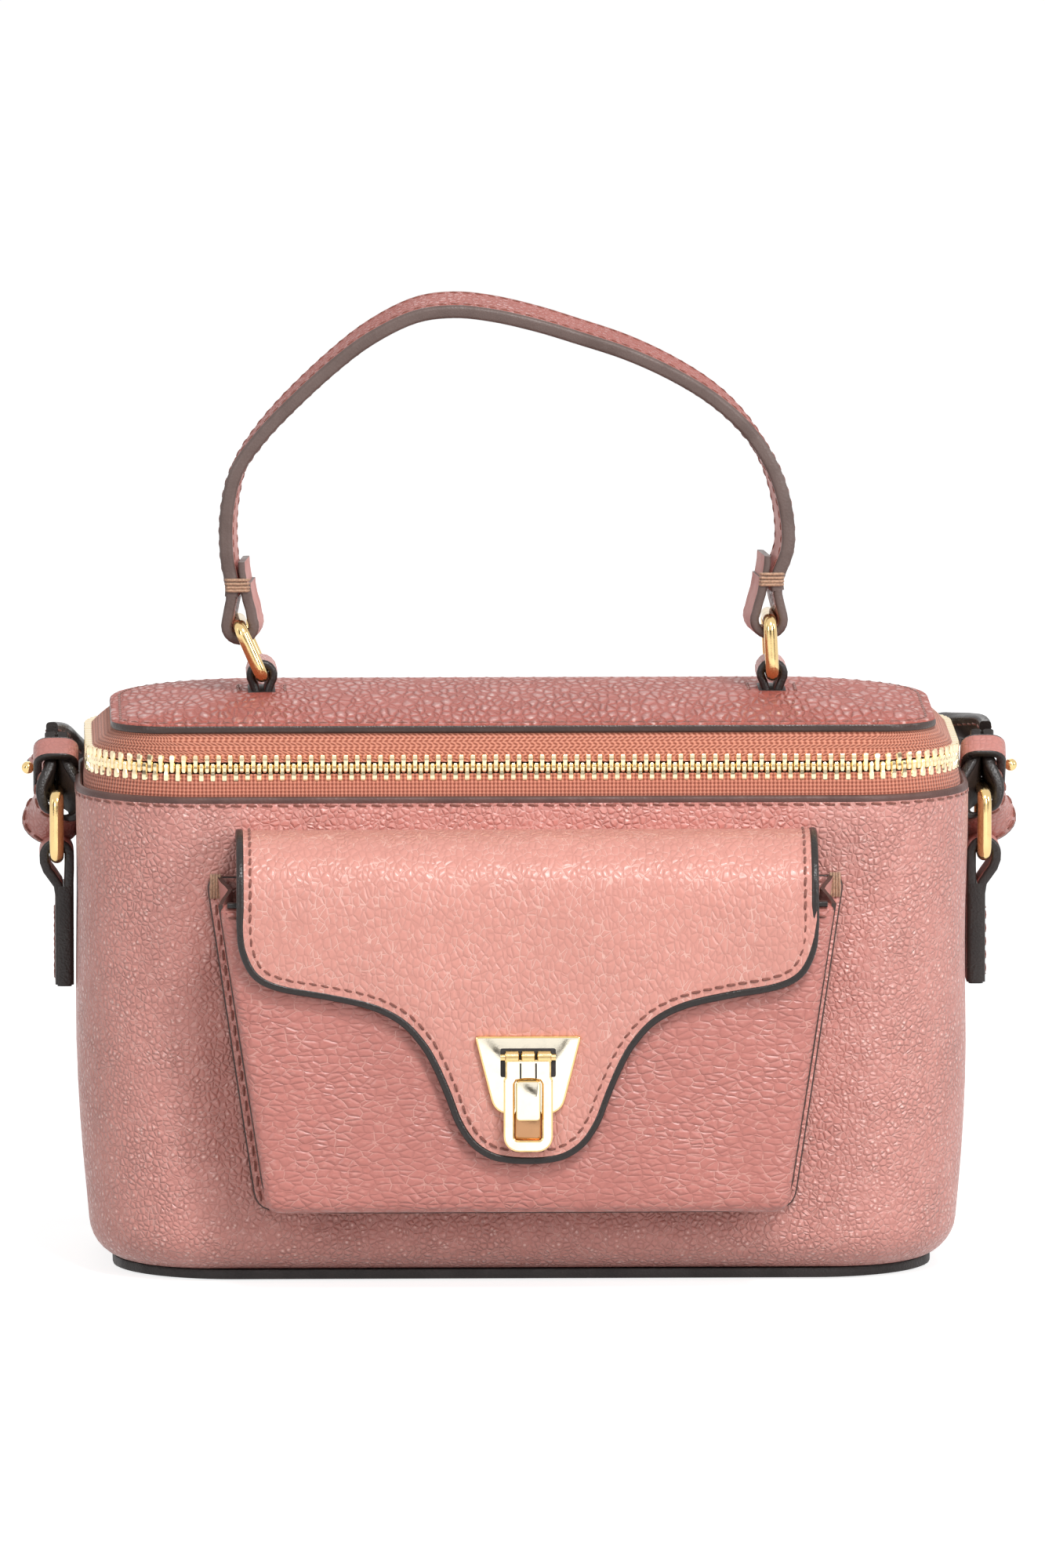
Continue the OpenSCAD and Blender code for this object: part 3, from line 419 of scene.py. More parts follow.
    def make(self, body=None, replaces=(), slot=None, smooth=40):
        mesh = bpy.data.meshes.new(self.name)
        mesh.from_pydata([(x * MM, y * MM, z * MM) for x, y, z in self.verts], [], self.faces)
        for m in self.mats:
            mesh.materials.append(m)
        layer = mesh.uv_layers.new(name="lengths")
        for poly, mat, uv in zip(mesh.polygons, self.face_mats, self.uvs):
            poly.material_index = mat
            for loop, place in zip(poly.loop_indices, uv):
                layer.data[loop].uv = place
        mesh.validate()
        obj = bpy.data.objects.new(self.name, mesh)
        scene.collection.objects.link(obj)
        weld(mesh)
        mesh.set_sharp_from_angle(angle=radians(smooth))
        mesh.polygons.foreach_set("use_smooth", [True] * len(mesh.polygons))
        if body:
            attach(obj, body)
        if replaces:
            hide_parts(*replaces)
        return obj


def weld(mesh):
    """Merges doubled points and turns all faces outwards."""
    bm = bmesh.new()
    bm.from_mesh(mesh)
    bmesh.ops.remove_doubles(bm, verts=bm.verts, dist=0.000004)
    bmesh.ops.recalc_face_normals(bm, faces=bm.faces)
    bm.to_mesh(mesh)
    bm.free()


def lengths_along(points):
    out = [0]
    for a, b in zip(points, points[1:]):
        out.append(out[-1] + (Vector(b) - Vector(a)).length)
    return out


def resample(route, ups, pitch):
    """Points at an even distance along a route, each with its heading and its up direction."""
    route = [Vector(p) for p in route]
    ups = [Vector(u) for u in ups] if isinstance(ups, list) else [ups] * len(route)
    lengths = lengths_along(route)
    count = max(1, round(lengths[-1] / pitch))
    step, out, i = lengths[-1] / count, [], 0
    for k in range(count):
        s = (k + 0.5) * step
        while i < len(route) - 2 and lengths[i + 1] < s:
            i += 1
        f = (s - lengths[i]) / max(lengths[i + 1] - lengths[i], 1e-9)
        out.append((route[i].lerp(route[i + 1], f), (route[i + 1] - route[i]).normalized(),
                    ups[i].lerp(ups[i + 1], f).normalized()))
    return out


def inset(outline, d):
    """A counter-clockwise closed outline moved inwards by d."""
    out, n = [], len(outline)
    for i in range(n):
        a, b, c = (Vector(outline[(i + k) % n]) for k in (-1, 0, 1))
        e, f = (b - a).normalized(), (c - b).normalized()
        m = Vector((-e.y - f.y, e.x + f.x))
        m = m.normalized() / max((1 + e.dot(f)) / 2, 0.3) ** 0.5 if m.length > 1e-6 else Vector((-e.y, e.x))
        out.append(tuple(b + m * d))
    return out


def spline(points, steps):
    """A smooth curve through points of any dimension."""
    p = [Vector(q) for q in points]
    out = []
    for i in range(len(p) - 1):
        a, b, c, d = p[max(i - 1, 0)], p[i], p[i + 1], p[min(i + 2, len(p) - 1)]
        for k in range(steps):
            t = k / steps
            out.append(0.5 * (2 * b + (c - a) * t + (2 * a - 5 * b + 4 * c - d) * t * t
                              + (3 * b - a - 3 * c + d) * t ** 3))
    return out + [p[-1]]


def arc(x, y, r, angles):
    """Points of a circle about (x, y), at angles in degrees."""
    return [(x + r * cos(radians(a)), y + r * sin(radians(a))) for a in angles]


def box(half, low, high, x=0, top=None):
    """Corners of a rectangle, or of a trapezium with another half width at the top, counter-clockwise."""
    top = half if top is None else top
    return [(x - half, low), (x + half, low), (x + top, high), (x - top, high)]


def plan(hw, hd, rf, rr, closed=True):
    """Outline of the case from the left end of its straight back, round the front, to the right end."""
    places = ((-hw + rr, hd - rr, rr, 90), (-hw + rf, -hd + rf, rf, 180), (hw - rf, -hd + rf, rf, 270),
              (hw - rr, hd - rr, rr, 0))
    corners = [[Vector(p) for p in arc(x, y, r, [first + 90 * k / 14 for k in range(15)])] for x, y, r, first in places]
    out = []
    for i, count in enumerate((8, 28, 8, 28)):
        out += corners[i]
        if i < 3 or closed:
            a, b = corners[i][-1], corners[(i + 1) % 4][0]
            out += [a.lerp(b, k / count) for k in range(1, count)]
    return out


def case_outline(z, d, closed=True):
    drawn = 3.5 * ((55 - z) / 55) ** 1.5 if z < 55 else 0
    return [(p.x, p.y, z) for p in plan(HALF_W - drawn - d, HALF_D - d, FRONT_R - d, REAR_R - d, closed)]


def chain_outline(z, d):
    return [(p.x, p.y, z) for p in plan(CHAIN_HW + d, CHAIN_HD + d, CHAIN_RF + d, CHAIN_RR + d, False)]


def lid_outline(z, d, closed=True):
    return [(p.x, p.y, z) for p in plan(LID_HW - d, LID_HD - d, max(LID_RF - d, 1), max(LID_RR - d, 2), closed)]


def crown_z(d):
    u = min(max(d, 0) / (LID_HD - 4), 1)
    return LID_TOP + CROWN * (1 - (1 - u) ** 2)


def thickened(rings, t):
    """Rings with a second set t further in behind them."""
    inner = [[tuple(Vector(q) + Vector((-q[0], -q[1], 0)).normalized() * t) for q in ring] for ring in rings]
    return rings + inner[::-1]


# ---- shoulder strap
def on_floor(points):
    """Rows of the strap lying on edge on the floor."""
    return [(x, y, 7, 0, 0, 1) for x, y in points]


def turn(side, y, way=1):
    """One of its turns, from y to 14 mm further on."""
    return [(side * x, y + way * step) for x, step in ((72, 0), (78, 3), (80, 7), (78, 11), (72, 14))]


# Each row is a point of the middle line and the direction across the strap
LEFT_ROWS = [
    (-104, 8.3, 112, 0, 0.7, -0.7), (-104.1, 14, 111.4, -0.1, 0.6, -0.8), (-103.9, 21, 110.8, -0.4, 0.45, -0.8),
    (-103.9, 29, 110, -0.75, 0.3, -0.6), (-101.3, 38, 107, -0.9, 0.2, -0.35), (-97.5, 46, 103.5, -1, 0.1, -0.15),
    (-93.5, 51.5, 97, -1, 0.1, 0), (-90, 55, 86, -1, 0.4, 0), (-88.5, 56.5, 70, -0.8, 0.8, 0),
    (-88.5, 57.5, 50, -0.4, 1, 0), (-88.5, 58, 30, 0, 1, 0), (-87.5, 58, 17, 0, 1, 0), (-83, 58, 9.5, 0, 1, 0.2),
    (-74, 58, 7, 0, 1, 0.7), (-60, 58, 7, 0, 0.5, 1)]
LEFT_ROWS += on_floor([(-46, 58), (0, 58), (40, 58)] + turn(1, 58) + [(0, 72)] + turn(-1, 72) + [(-36, 86), (0, 86)])
RIGHT_ROWS = [
    (104, 8.3, 112, 0, 0.7, -0.7), (104, 12.5, 112.7, 0.1, 0.62, -0.78), (103.2, 19, 112.5, 0.3, 0.4, -0.85),
    (101.8, 27, 112.5, 0.6, 0.2, -0.75), (99.9, 34.5, 113, 0.85, 0, -0.5), (96.4, 43, 112.2, 1, 0, -0.2),
    (92.8, 49.8, 108, 1, 0, 0), (90.3, 53.5, 101, 1, 0, 0), (88.5, 55.5, 89, 1, 0, 0), (87.8, 56.5, 60, 1, 0, 0),
    (88, 58, 30, 1, 0, 0), (89, 62, 15, 1, 0, 0), (91, 70, 8.5, 1, 0, 0.4), (93, 80, 7, 0.8, 0, 1),
    (94.5, 92, 7, 0.2, 0, 1)]
RIGHT_ROWS += on_floor([(95, 104), (90, 111), (80, 114), (40, 114), (0, 114)] + turn(-1, 114, -1) + [(0, 100)]
                       + turn(1, 100, -1) + [(36, 86), (0.1, 86)])


def strap_half(side, rows):
    """Half of the strap: two layers with painted edges, sewn along both edges."""
    route = spline([row[:3] for row in rows], 6)
    widths = spline([row[3:] for row in rows], 6)
    build = Build("strap_" + side, PLAIN_STRAP, EDGE_DARK, STRAP_BACK, THREAD)
    build.ribbon(route, widths, STRAP_W, STRAP_T, (2, 1, 0) if side == "left" else (0, 1, 2), r=0.8)
    build.seams(frames_along(route, widths), STRAP_W / 2 - 1.9, (-STRAP_T / 2, STRAP_T / 2), pitch=3.6, r=0.26)
    piece = build.make(replaces=("strap_" + side,), slot="grained_leather")
    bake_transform(piece)
    return piece, [tuple(p * MM) for p in route], lengths_along(route)[-1] * MM


for name, rows in (("left", LEFT_ROWS), ("right", RIGHT_ROWS)):
    strap, strap_path, strap_length = strap_half(name, rows)
    print("strap", name, round(strap_length, 4))


# ---- case
def soften(ring):
    """Slow unevenness of leather over board, none at the rim."""
    out = []
    for x, y, z in ring:
        fade = max(0, min(1, (104 - z) / 20)) * max(0, min(1, (z - 4) / 10))
        d = 0.22 * sin(x * 0.071 + z * 0.053) + 0.16 * sin(y * 0.13 - z * 0.09 + 1.3) - 0.3
        n = Vector((x, y, 0)).normalized()
        out.append((x + n.x * d * fade, y + n.y * d * fade, z))
    return out


def outward(ring):
    """Outward directions of a closed counter-clockwise outline."""
    out = []
    for a, b in zip(ring[-1:] + ring, ring[1:] + ring[:1]):
        d = Vector(b) - Vector(a)
        out.append(Vector((d.y, -d.x, 0)).normalized())
    return out


FOOT_Z, EDGE_R = 2.35, 9
wall = Build("case_wall", ROSE, EDGE_PAINT_LIT_WARM, PLAIN)
skin = [case_outline(z, d) for d, z in arc(EDGE_R, FOOT_Z + EDGE_R, EDGE_R, [270 - 90 * k / 8 for k in range(9)])]
skin += [case_outline(z, 0) for z in (18, 26, 34, 42, 50, 58, 66, 74, 82, 90, 97, 102, 105)]
rim = [case_outline(z, d) for z, d in (
    (106, 0.02), (106.5, 0.14), (107, 0.04), (107.5, 0), (108.1, 0.08), (108.4, 0.35), (108.5, 0.8), (108.4, 1.25),
    (108, 1.55), (104, 1.6), (98, 1.6), (60, 1.6), (12, 1.6))]
wall.rings([soften(ring) for ring in skin] + rim, [0] * (len(skin) + 2) + [1] * 6 + [2] * 4)
wall.make("case", ("body_shell", "body_board"), "grained_leather", smooth=50)

rim_seam = Build("rim_stitches", THREAD)
seam, ups = case_outline(106.5, 0.16), outward(case_outline(106.5, 0.16))
rim_seam.stitches(seam + seam[:1], ups + ups[:1])
rim_seam.make("case", slot="grained_leather")

lining = Build("case_lining", CLOTH, PLAIN)
LINING_IN, LINING_R = 2.8, 8.2
lining_rings = [case_outline(z, LINING_IN) for z in (104.5, 102.5, 98, 80, 60, 40, 24, 14)]
lining_rings += [case_outline(z, d) for d, z in arc(LINING_IN + LINING_R, 14, LINING_R, range(195, 271, 15))]
lining_vs = [0] + lengths_along([ring[0] for ring in lining_rings])
lining.rings([[(x, y * 0.998, z) for x, y, z in lining_rings[0]]] + lining_rings, [1, 1] + [0] * 12,
             us=lengths_along(lining_rings[0] + lining_rings[0][:1]), vs=lining_vs)
lowest = lining_rings[-1]
start = lining.add(lowest)
lining.face([start + i for i in range(len(lowest))], 0, [(x, y) for x, y, z in lowest])
lining.make("case", ("body_lining",), "lining", smooth=60)

base = Build("base", NEAR_BLACK_BASE_AND_PAINTED_SHADE, EDGE_PAINT_LIT)
base.plate([(p.x, p.y) for p in plan(91, 41, FRONT_R, REAR_R)], lambda x, y, d: (x, y, d), 2.3, 0.5, (0, 0, 0))
base.make("case", ("base_panel",), "edge_leather")

# ---- zip
FOOT, TAPE_T = 1.6, 0.7


def between(lower, upper, f):
    return [Vector(a).lerp(Vector(b), f) for a, b in zip(lower, upper)]


low_tape = Build("zip_tape_lower", TAPE_LOW)
rings = [case_outline(z, d, False) for z, d in ((101, 1.7), (105, 1.7), (108.6, 1.72))]
lower, upper = case_outline(RIM_Z, 1.75, False), chain_outline(TEETH_LOW + FOOT, 0.35)
rings += [[tuple(p) for p in between(lower, upper, k / 5)] for k in range(1, 6)]
vs = [0, 4, 7.6] + [7.6 + 5 * k / 5 for k in range(1, 6)]
us = lengths_along(chain_outline(CHAIN_Z, 0))
rings = thickened(rings, TAPE_T)
low_tape.rings(rings, [0] * (len(rings) - 1), closed=False, us=us, vs=vs + vs[::-1])
low_tape.make("case", ("lower_zip_tape",), "zip_tape", smooth=60)

up_tape = Build("zip_tape_upper", TAPE)
lower, upper = chain_outline(TEETH_TOP - FOOT, 0.35), lid_outline(LID_Z + 0.3, 0.9, False)
shares = [k / 8 for k in range(9)]
rings = [[tuple(p + Vector((a[0], a[1], 0)).normalized() * (0.5 * sin(pi * f)))
          for p, a in zip(between(lower, upper, f), lower)] for f in shares]
vs = [8.4 * f for f in shares]
up_tape.rings(thickened(rings, TAPE_T), [0] * 17, closed=False, us=us, vs=vs + vs[::-1])
tape_piece = up_tape.make(replaces=("upper_zip_tape",), slot="zip_tape", smooth=60)
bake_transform(tape_piece)

FRONT_HALF, FRONT_ARC = CHAIN_HW - CHAIN_RF, CHAIN_RF * pi / 2
SIDE_END = FRONT_HALF + FRONT_ARC + 2 * CHAIN_HD - CHAIN_RF - CHAIN_RR
TEETH_EACH_WAY = int((SIDE_END + CHAIN_RR * pi / 2 - 2) / PITCH)


def chain_at(s):
    """Point and heading of the chain line at the distance s from the middle of the front."""
    t = abs(s)
    if t < FRONT_HALF:
        x, y, a = t, -CHAIN_HD, 0
    elif t < FRONT_HALF + FRONT_ARC:
        a = (t - FRONT_HALF) / CHAIN_RF
        x, y = FRONT_HALF + CHAIN_RF * sin(a), -CHAIN_HD + CHAIN_RF * (1 - cos(a))
    elif t < SIDE_END:
        x, y, a = CHAIN_HW, -CHAIN_HD + CHAIN_RF + t - FRONT_HALF - FRONT_ARC, pi / 2
    else:
        b = (t - SIDE_END) / CHAIN_RR
        x, y = CHAIN_HW - CHAIN_RR + CHAIN_RR * cos(b), CHAIN_HD - CHAIN_RR + CHAIN_RR * sin(b)
        a = pi / 2 + b
    return (-x, y, -a) if s < 0 else (x, y, a)


TOOTH_SPAN = 3.9
TOOTH_LEVELS = [(0, 0.55, 1.15), (0.06, 0.76, 1.4), (0.34, 0.78, 1.5), (0.46, 0.62, 1.4), (0.62, 0.58, 1.34),
                (0.74, 0.61, 1.42), (0.9, 0.61, 1.42), (1, 0.42, 1.05)]
TOOTH_SHAPE = [(1, 0.55), (0.62, 1), (-0.62, 1), (-1, 0.55), (-1, -0.55), (-0.62, -1), (0.62, -1), (1, -0.55)]


def tooth(build, s, up):
    """One cast tooth: feet that grip the tape, a waist and a rounded head that meshes with the other row."""
    x, y, a = chain_at(s)
    along, out = Vector((cos(a), sin(a), 0)), Vector((sin(a), -cos(a), 0))
    root, span = (TEETH_TOP, -TOOTH_SPAN) if up else (TEETH_LOW, TOOTH_SPAN)
    rings = []
    for f, w, d in TOOTH_LEVELS:
        c = Vector((x, y, root + span * f))
        rings.append([tuple(c + along * w * p + out * (0.64 * d * q - 0.08)) for p, q in TOOTH_SHAPE])
    build.rings(rings, [0] * 7, caps=(True, True))


LAST_ON_LID, FIRST_ON_TAIL = TAIL_Y - TAIL_GAP, TAIL_Y + TAIL_GAP
for name, body, replaced, up, wanted in (
        ("zip_teeth_lower", "case", "lower_zip_teeth", False, lambda x, y: True),
        ("zip_teeth_upper", "lid", "upper_zip_teeth", True, lambda x, y: y < LAST_ON_LID),
        ("zip_tail_teeth_left", "case", "zip_tail_left", True, lambda x, y: y >= FIRST_ON_TAIL and x < 0),
        ("zip_tail_teeth_right", "case", "zip_tail_right", True, lambda x, y: y >= FIRST_ON_TAIL and x > 0)):
    teeth = Build(name, PALE_GOLD)
    for i in range(-TEETH_EACH_WAY, TEETH_EACH_WAY + (not up)):
        s = (i + 0.5 * up) * PITCH
        if wanted(*chain_at(s)[:2]):
            tooth(teeth, s, up)
    teeth.make(body, (replaced,), "gold", smooth=35)

# ---- lid
lid = Build("lid", LID_ROSE_PAINTED_SHADE, EDGE_PAINT_LIT, PLAIN)
steps = [(1.2, LID_Z + 0.05, 2), (0.5, LID_Z + 0.05, 1), (0.12, LID_Z + 0.25, 1), (0, LID_Z + 0.7, 1),
         (0, LID_Z + 1.3, 1), (0.12, LID_Z + 1.75, 1), (0.45, LID_Z + 2, 0), (1, LID_TOP + 0.12, 0),
         (1.7, LID_TOP + 0.2, 0), (2.2, LID_TOP + 0.06, 0), (2.7, LID_TOP + 0.28, 0), (3.4, LID_TOP + 0.48, 0)]
for k in range(1, 17):
    d = 3.4 + 37.4 * (k / 16) ** 1.15
    steps.append((d, crown_z(d), 0))
lid.rings([lid_outline(z, d) for d, z, _ in steps], [m for _, _, m in steps[1:]], caps=(False, True))
lid.make("lid", ("lid_panel",), "grained_leather", smooth=50)

lid_seam = Build("lid_stitches", THREAD)
seam = lid_outline(LID_TOP + 0.08, 2.2)
lid_seam.stitches(seam + seam[:1], UP, pitch=3.5)
lid_seam.make("lid", slot="grained_leather")

under = Build("lid_lining", CLOTH, PLAIN)
under_line = [(p.x, min(p.y, 36.6)) for p in plan(LID_HW - 1.9, LID_HD - 1.9, LID_RF - 1.8, LID_RR - 1.8)]
rings = [[(x * sx, y * sy, z) for x, y in under_line]
         for z, sx, sy in ((121.95, 1, 1), (120.2, 1, 1), (120.05, 0.985, 0.97))]
start = under.rings(rings, [1, 1])[-1]
under.face([start + i for i in range(len(under_line))], 0, under_line)
under.make("lid", ("lid_board", "lid_lining"), "lining", smooth=30)

HINGE_W, HINGE_Y = 134, 45.85
hinge = Build("rear_hinge", ROSE, EDGE_PAINT_LIT, THREAD)
route = [(0, HINGE_Y, z) for z in (100.9, 104, 107, 110, 112.5)]
route += [(0, HINGE_Y - 0.1 * k ** 1.5, CHAIN_Z + 0.9 * k) for k in range(9)]
hinge.ribbon(route, Vector((1, 0, 0)), HINGE_W, 1, (0, 1, 0), r=0.3)
for y, z in ((HINGE_Y + 0.5, 110.4), (HINGE_Y - 0.8, 119.4)):
    hinge.stitches([(x, y, z) for x in (2 - HINGE_W / 2, HINGE_W / 2 - 2)], -FORWARD, 2, r=0.26)
hinge_piece = hinge.make(replaces=("hinge_panel_lower", "hinge_panel_upper"), slot="plain_leather")
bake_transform(hinge_piece)


# ---- rings, tabs and handle
def link(name, x, z, lean, d, gap):
    """A rounded wire ring that stands on its lower bar at (x, z) and leans to the left."""
    build, body = Build(name, GOLD), name.replace("wire_", "")
    r, half = 2, RING_INSIDE / 2 + d / 2
    loop = []
    for cy, cz, a0 in ((half - r, gap - r, 0), (-half + r, gap - r, 90), (-half + r, r, 180), (half - r, r, 270)):
        loop += arc(cy, cz, r, range(a0, a0 + 91, 15))
    c, s = cos(radians(lean)), sin(radians(lean))
    full = []
    for (ya, za), (yb, zb) in zip(loop, loop[1:] + loop[:1]):
        count = 4 if hypot(yb - ya, zb - za) > 2 else 1
        full += [(ya + (yb - ya) * k / count, za + (zb - za) * k / count) for k in range(count)]
    build.tube([(x - v * s, y, z + v * c) for y, v in full], d / 2, closed=True, sides=20)
    build.make(body, (body,), "gold", smooth=60)


link("handle_ring_wire_left", RING_LEFT_X, BAR_Z, LEAN_LEFT, WIRE, BAR_GAP)
link("handle_ring_wire_right", RING_RIGHT_X, BAR_Z, LEAN_RIGHT, WIRE, BAR_GAP)
link("side_ring_wire_left", -SIDE_X, SIDE_Z, 0, SIDE_WIRE, SIDE_GAP)
link("side_ring_wire_right", SIDE_X, SIDE_Z, 0, SIDE_WIRE, SIDE_GAP)

for side, x in (("left", RING_LEFT_X), ("right", RING_RIGHT_X)):
    tab = Build("handle_tab_leather_" + side, ROSE, EDGE_DARK, PLAIN)
    leg = [(-1.1, 122.4), (-1.1, 125.5), (-1.5, 127.4)]
    route = [(x + u, z) for u, z in leg] + arc(x, BAR_Z, 2.6, [215 - 250 * k / 12 for k in range(13)])
    route += [(x - u, z) for u, z in reversed(leg)]
    tab.ribbon([(u, 0, z) for u, z in route], FORWARD, GRIP_W, 1.8, (0, 1, 2))
    tab.make("lid", ("handle_tab_" + side,), "grained_leather")
    # A near-black plate on the lid round each tab, painted shade for the slot it comes out of, with a stitched bar
    # either side.
    slot = Build("lid_slot_" + side, NEAR_BLACK_BASE_AND_PAINTED_SHADE, EDGE_PAINT_LIT, THREAD)
    top = crown_z(LID_HW - abs(x)) + 0.02
    slot.plate(box(3.1, -7.2, 7.2, x), lambda a, b, d: (a, b, top + 0.1 - d), 1, 0.25, (0, 0, 0))
    for u in (-5.2, 5.2):
        slot.stitches([(x + u, y, top + 0.05) for y in (-6.5, 6.5)], UP, 2)
    slot.make("lid", slot="edge_leather")


def bar_top(x, lean):
    """Middle of a handle ring's upper bar."""
    return Vector((x - BAR_GAP * sin(radians(lean)), 0, BAR_Z + BAR_GAP * cos(radians(lean))))


LEFT_TOP, RIGHT_TOP = bar_top(RING_LEFT_X, LEAN_LEFT), bar_top(RING_RIGHT_X, LEAN_RIGHT)
handle_points = [LEFT_TOP + Vector((-1.9, 0, 6.5)), LEFT_TOP + Vector((-1.9, 0, 9.5))]
handle_points += [Vector((x, 0, z)) for x, z in (
    (-65.4, 157.5), (-65.4, 166.4), (-63.4, 175.4), (-58.5, 182.8), (-51.9, 189.9), (-42.5, 198.6), (-33.7, 205.3),
    (-23.9, 210.2), (-15, 211.5), (-6, 210.6), (3.6, 208.4), (12.5, 205.7), (24, 201.9), (34.6, 197), (43.5, 191.4),
    (50.8, 184.6), (56, 176.8), (58.9, 168.2), (59.6, 159.2))]
handle_points += [RIGHT_TOP + Vector((1.9, 0, 9.5)), RIGHT_TOP + Vector((1.9, 0, 6.5))]
route = spline(handle_points, 5)
grip = Build("handle_grip", HANDLE_ROSE_PAINTED_SHADE, EDGE_PAINT_LIT_GREY, PLAIN, THREAD)
# The rear edge of the grip stands a little higher at the top and nearer the middle at both legs
lean = [Vector((-1.4 * max(-1, min(1, p.x / 52)), GRIP_W, 2.3 * max(0, min(1, (p.z - 160) / 30))))
        for p in route]
route = [p + Vector((w.x, 0, w.z)) / 2 for p, w in zip(route, lean)]
grip.ribbon(route, lean, GRIP_W, 3, (2, 1, 0), r=0.9)
grip.seams(frames_along(route, lean)[4:-4], 4.6, (-1.5, 1.5), pitch=2.8, length=2.1, r=0.2, sink=0.1)
grip.make("handle", ("handle_strap", "handle_backing"), "grained_leather")

BEND_OUTSIDE = 4.4
for side, top, way, bore in (("left", LEFT_TOP, 1, 1.7), ("right", RIGHT_TOP, -1, 2.1)):
    end = Build("handle_end_leather_" + side, ROSE, EDGE_PAINT_LIT_GREY, PLAIN, BAR_THREAD)
    path = [(1.15, 9.5), (1.2, 8.4), (1.65, 5.9), (2.35, 3.6)]
    path += arc(0, 0, (BEND_OUTSIDE + bore) / 2, range(28, -209, -16))
    path += [(-2.35, 4), (-2, 5.6), (-1.95, 7.6)]
    tail = [(0.3, 14.3), (0.4, 12.4), (0.75, 10.2), (1.1, 8.2)]
    path, tail = ([Vector((top.x + way * (u + 0.7), 0, top.z + v)) for u, v in line] for line in (path, tail))
    across = Vector((way * 1.4, GRIP_W, 0)) * way
    end.ribbon(path, across, GRIP_W, BEND_OUTSIDE - bore - 0.3, (0, 1, 2), r=0.8)
    end.ribbon(tail, across, GRIP_W - 0.2, 1.5, (0, 1, 2), r=0.6)
    for v in (8, 8.75, 9.5, 10.25):
        a, b = -2.9 - (v - 7.5) * 0.06, 2.1 - (v - 8) * 0.05
        wrap = [(a, 0.55), (a + 0.3, -0.12), ((a + b) / 2, -0.28), (b - 0.3, -0.12), (b, 0.55)]
        for y, inwards in ((-6.55, 1), (6.55, -1)):
            turn_z = top.z + v + 0.1 * sin(v * 7)
            end.tube([(top.x + way * u, y + inwards * w, turn_z) for u, w in wrap], 0.36, 3, sides=8)
    end.make("handle", ("handle_end_" + side,), "grained_leather")


# ---- front pocket
def upright(y):
    return lambda x, z, depth: (x, y + depth, z)


def rounded(points, r, steps=5):
    """A counter-clockwise outline with each corner rounded."""
    out, n = [], len(points)
    for i in range(n):
        a, b, c = (Vector(points[(i + k) % n]) for k in (-1, 0, 1))
        radius = r[i] if isinstance(r, (list, tuple)) else r
        u, v = (a - b).normalized(), (c - b).normalized()
        reach = min(radius / max(tan(u.angle(v) / 2), 0.05), (a - b).length * 0.45, (c - b).length * 0.45)
        p, q = b + u * reach, b + v * reach
        for k in range(steps + 1):
            t = k / steps
            out.append(tuple(p * (1 - t) ** 2 + b * 2 * t * (1 - t) + q * t * t))
    return out


def densify(points, step):
    """The outline with points at most about one step apart."""
    out = []
    for a, b in zip(points, points[1:] + points[:1]):
        a, b = Vector(a), Vector(b)
        count = max(1, round((b - a).length / step))
        out += [tuple(a.lerp(b, k / count)) for k in range(count)]
    return out


BACK_Y = -49.3
back_panel = Build("pocket_back", ROSE, EDGE_PAINT_LIT, THREAD)
outline = densify(rounded(box(59.5, 16.5, 91, top=70.6), (5, 5, 3, 3)), 4)
back_panel.plate(outline, upright(BACK_Y), 1.15, 0.35)
border = [p for p in inset(outline, 1.3) if p[1] < 89]
split = max(range(len(border)), key=lambda i: (Vector(border[i]) - Vector(border[i - 1])).length)
border = border[split:] + border[:split]
back_panel.stitches([(x, BACK_Y - 0.02, z) for x, z in border], FORWARD, 2, pitch=3.4, r=0.27)
back_panel.make("case", ("pocket_back_panel",), "plain_leather")

gusset = Build("pocket_side", PLAIN, EDGE_PAINT_LIT, ROSE)
u_line = [(-68, 87), (-65.7, 72), (-63.2, 55), (-60.5, 38), (-58.6, 25.5)]
u_line += arc(-53.6, 23, 4.2, (200, 225, 250, 270)) + [(-40, 18.6), (-20, 18.55), (0, 18.55)]
u_line = [Vector(p) for p in u_line + [(-x, z) for x, z in reversed(u_line[:-1])]]
GUSSET_FRONT, GUSSET_T, GUSSET_RISE, GUSSET_DEPTH = -68.2, 1, 4, 18.8
depths = [GUSSET_FRONT, -66.5, -64, -61.5, -59.2, -56.5, -54, -51.6, -49.4]
fold = [0, 0.35, 0.9, 1.7, 2.3, 1.7, 0.9, 0.35, 0]


def gusset_ring(extra, y, sink):
    """The gusset's line at the depth y, set inwards by its fold and raised towards the back panel."""
    ring = []
    rise = GUSSET_RISE * (y - GUSSET_FRONT) / GUSSET_DEPTH
    for i, p in enumerate(u_line):
        d = heading(u_line, i)
        share = min(1, max(0, (p.y - 20) / 45))
        q = p + Vector((-d.y, d.x)) * (extra + sink * share)
        ring.append((q.x, y, q.y + rise * max(0, (p.y - 72) / 15)))
    return ring


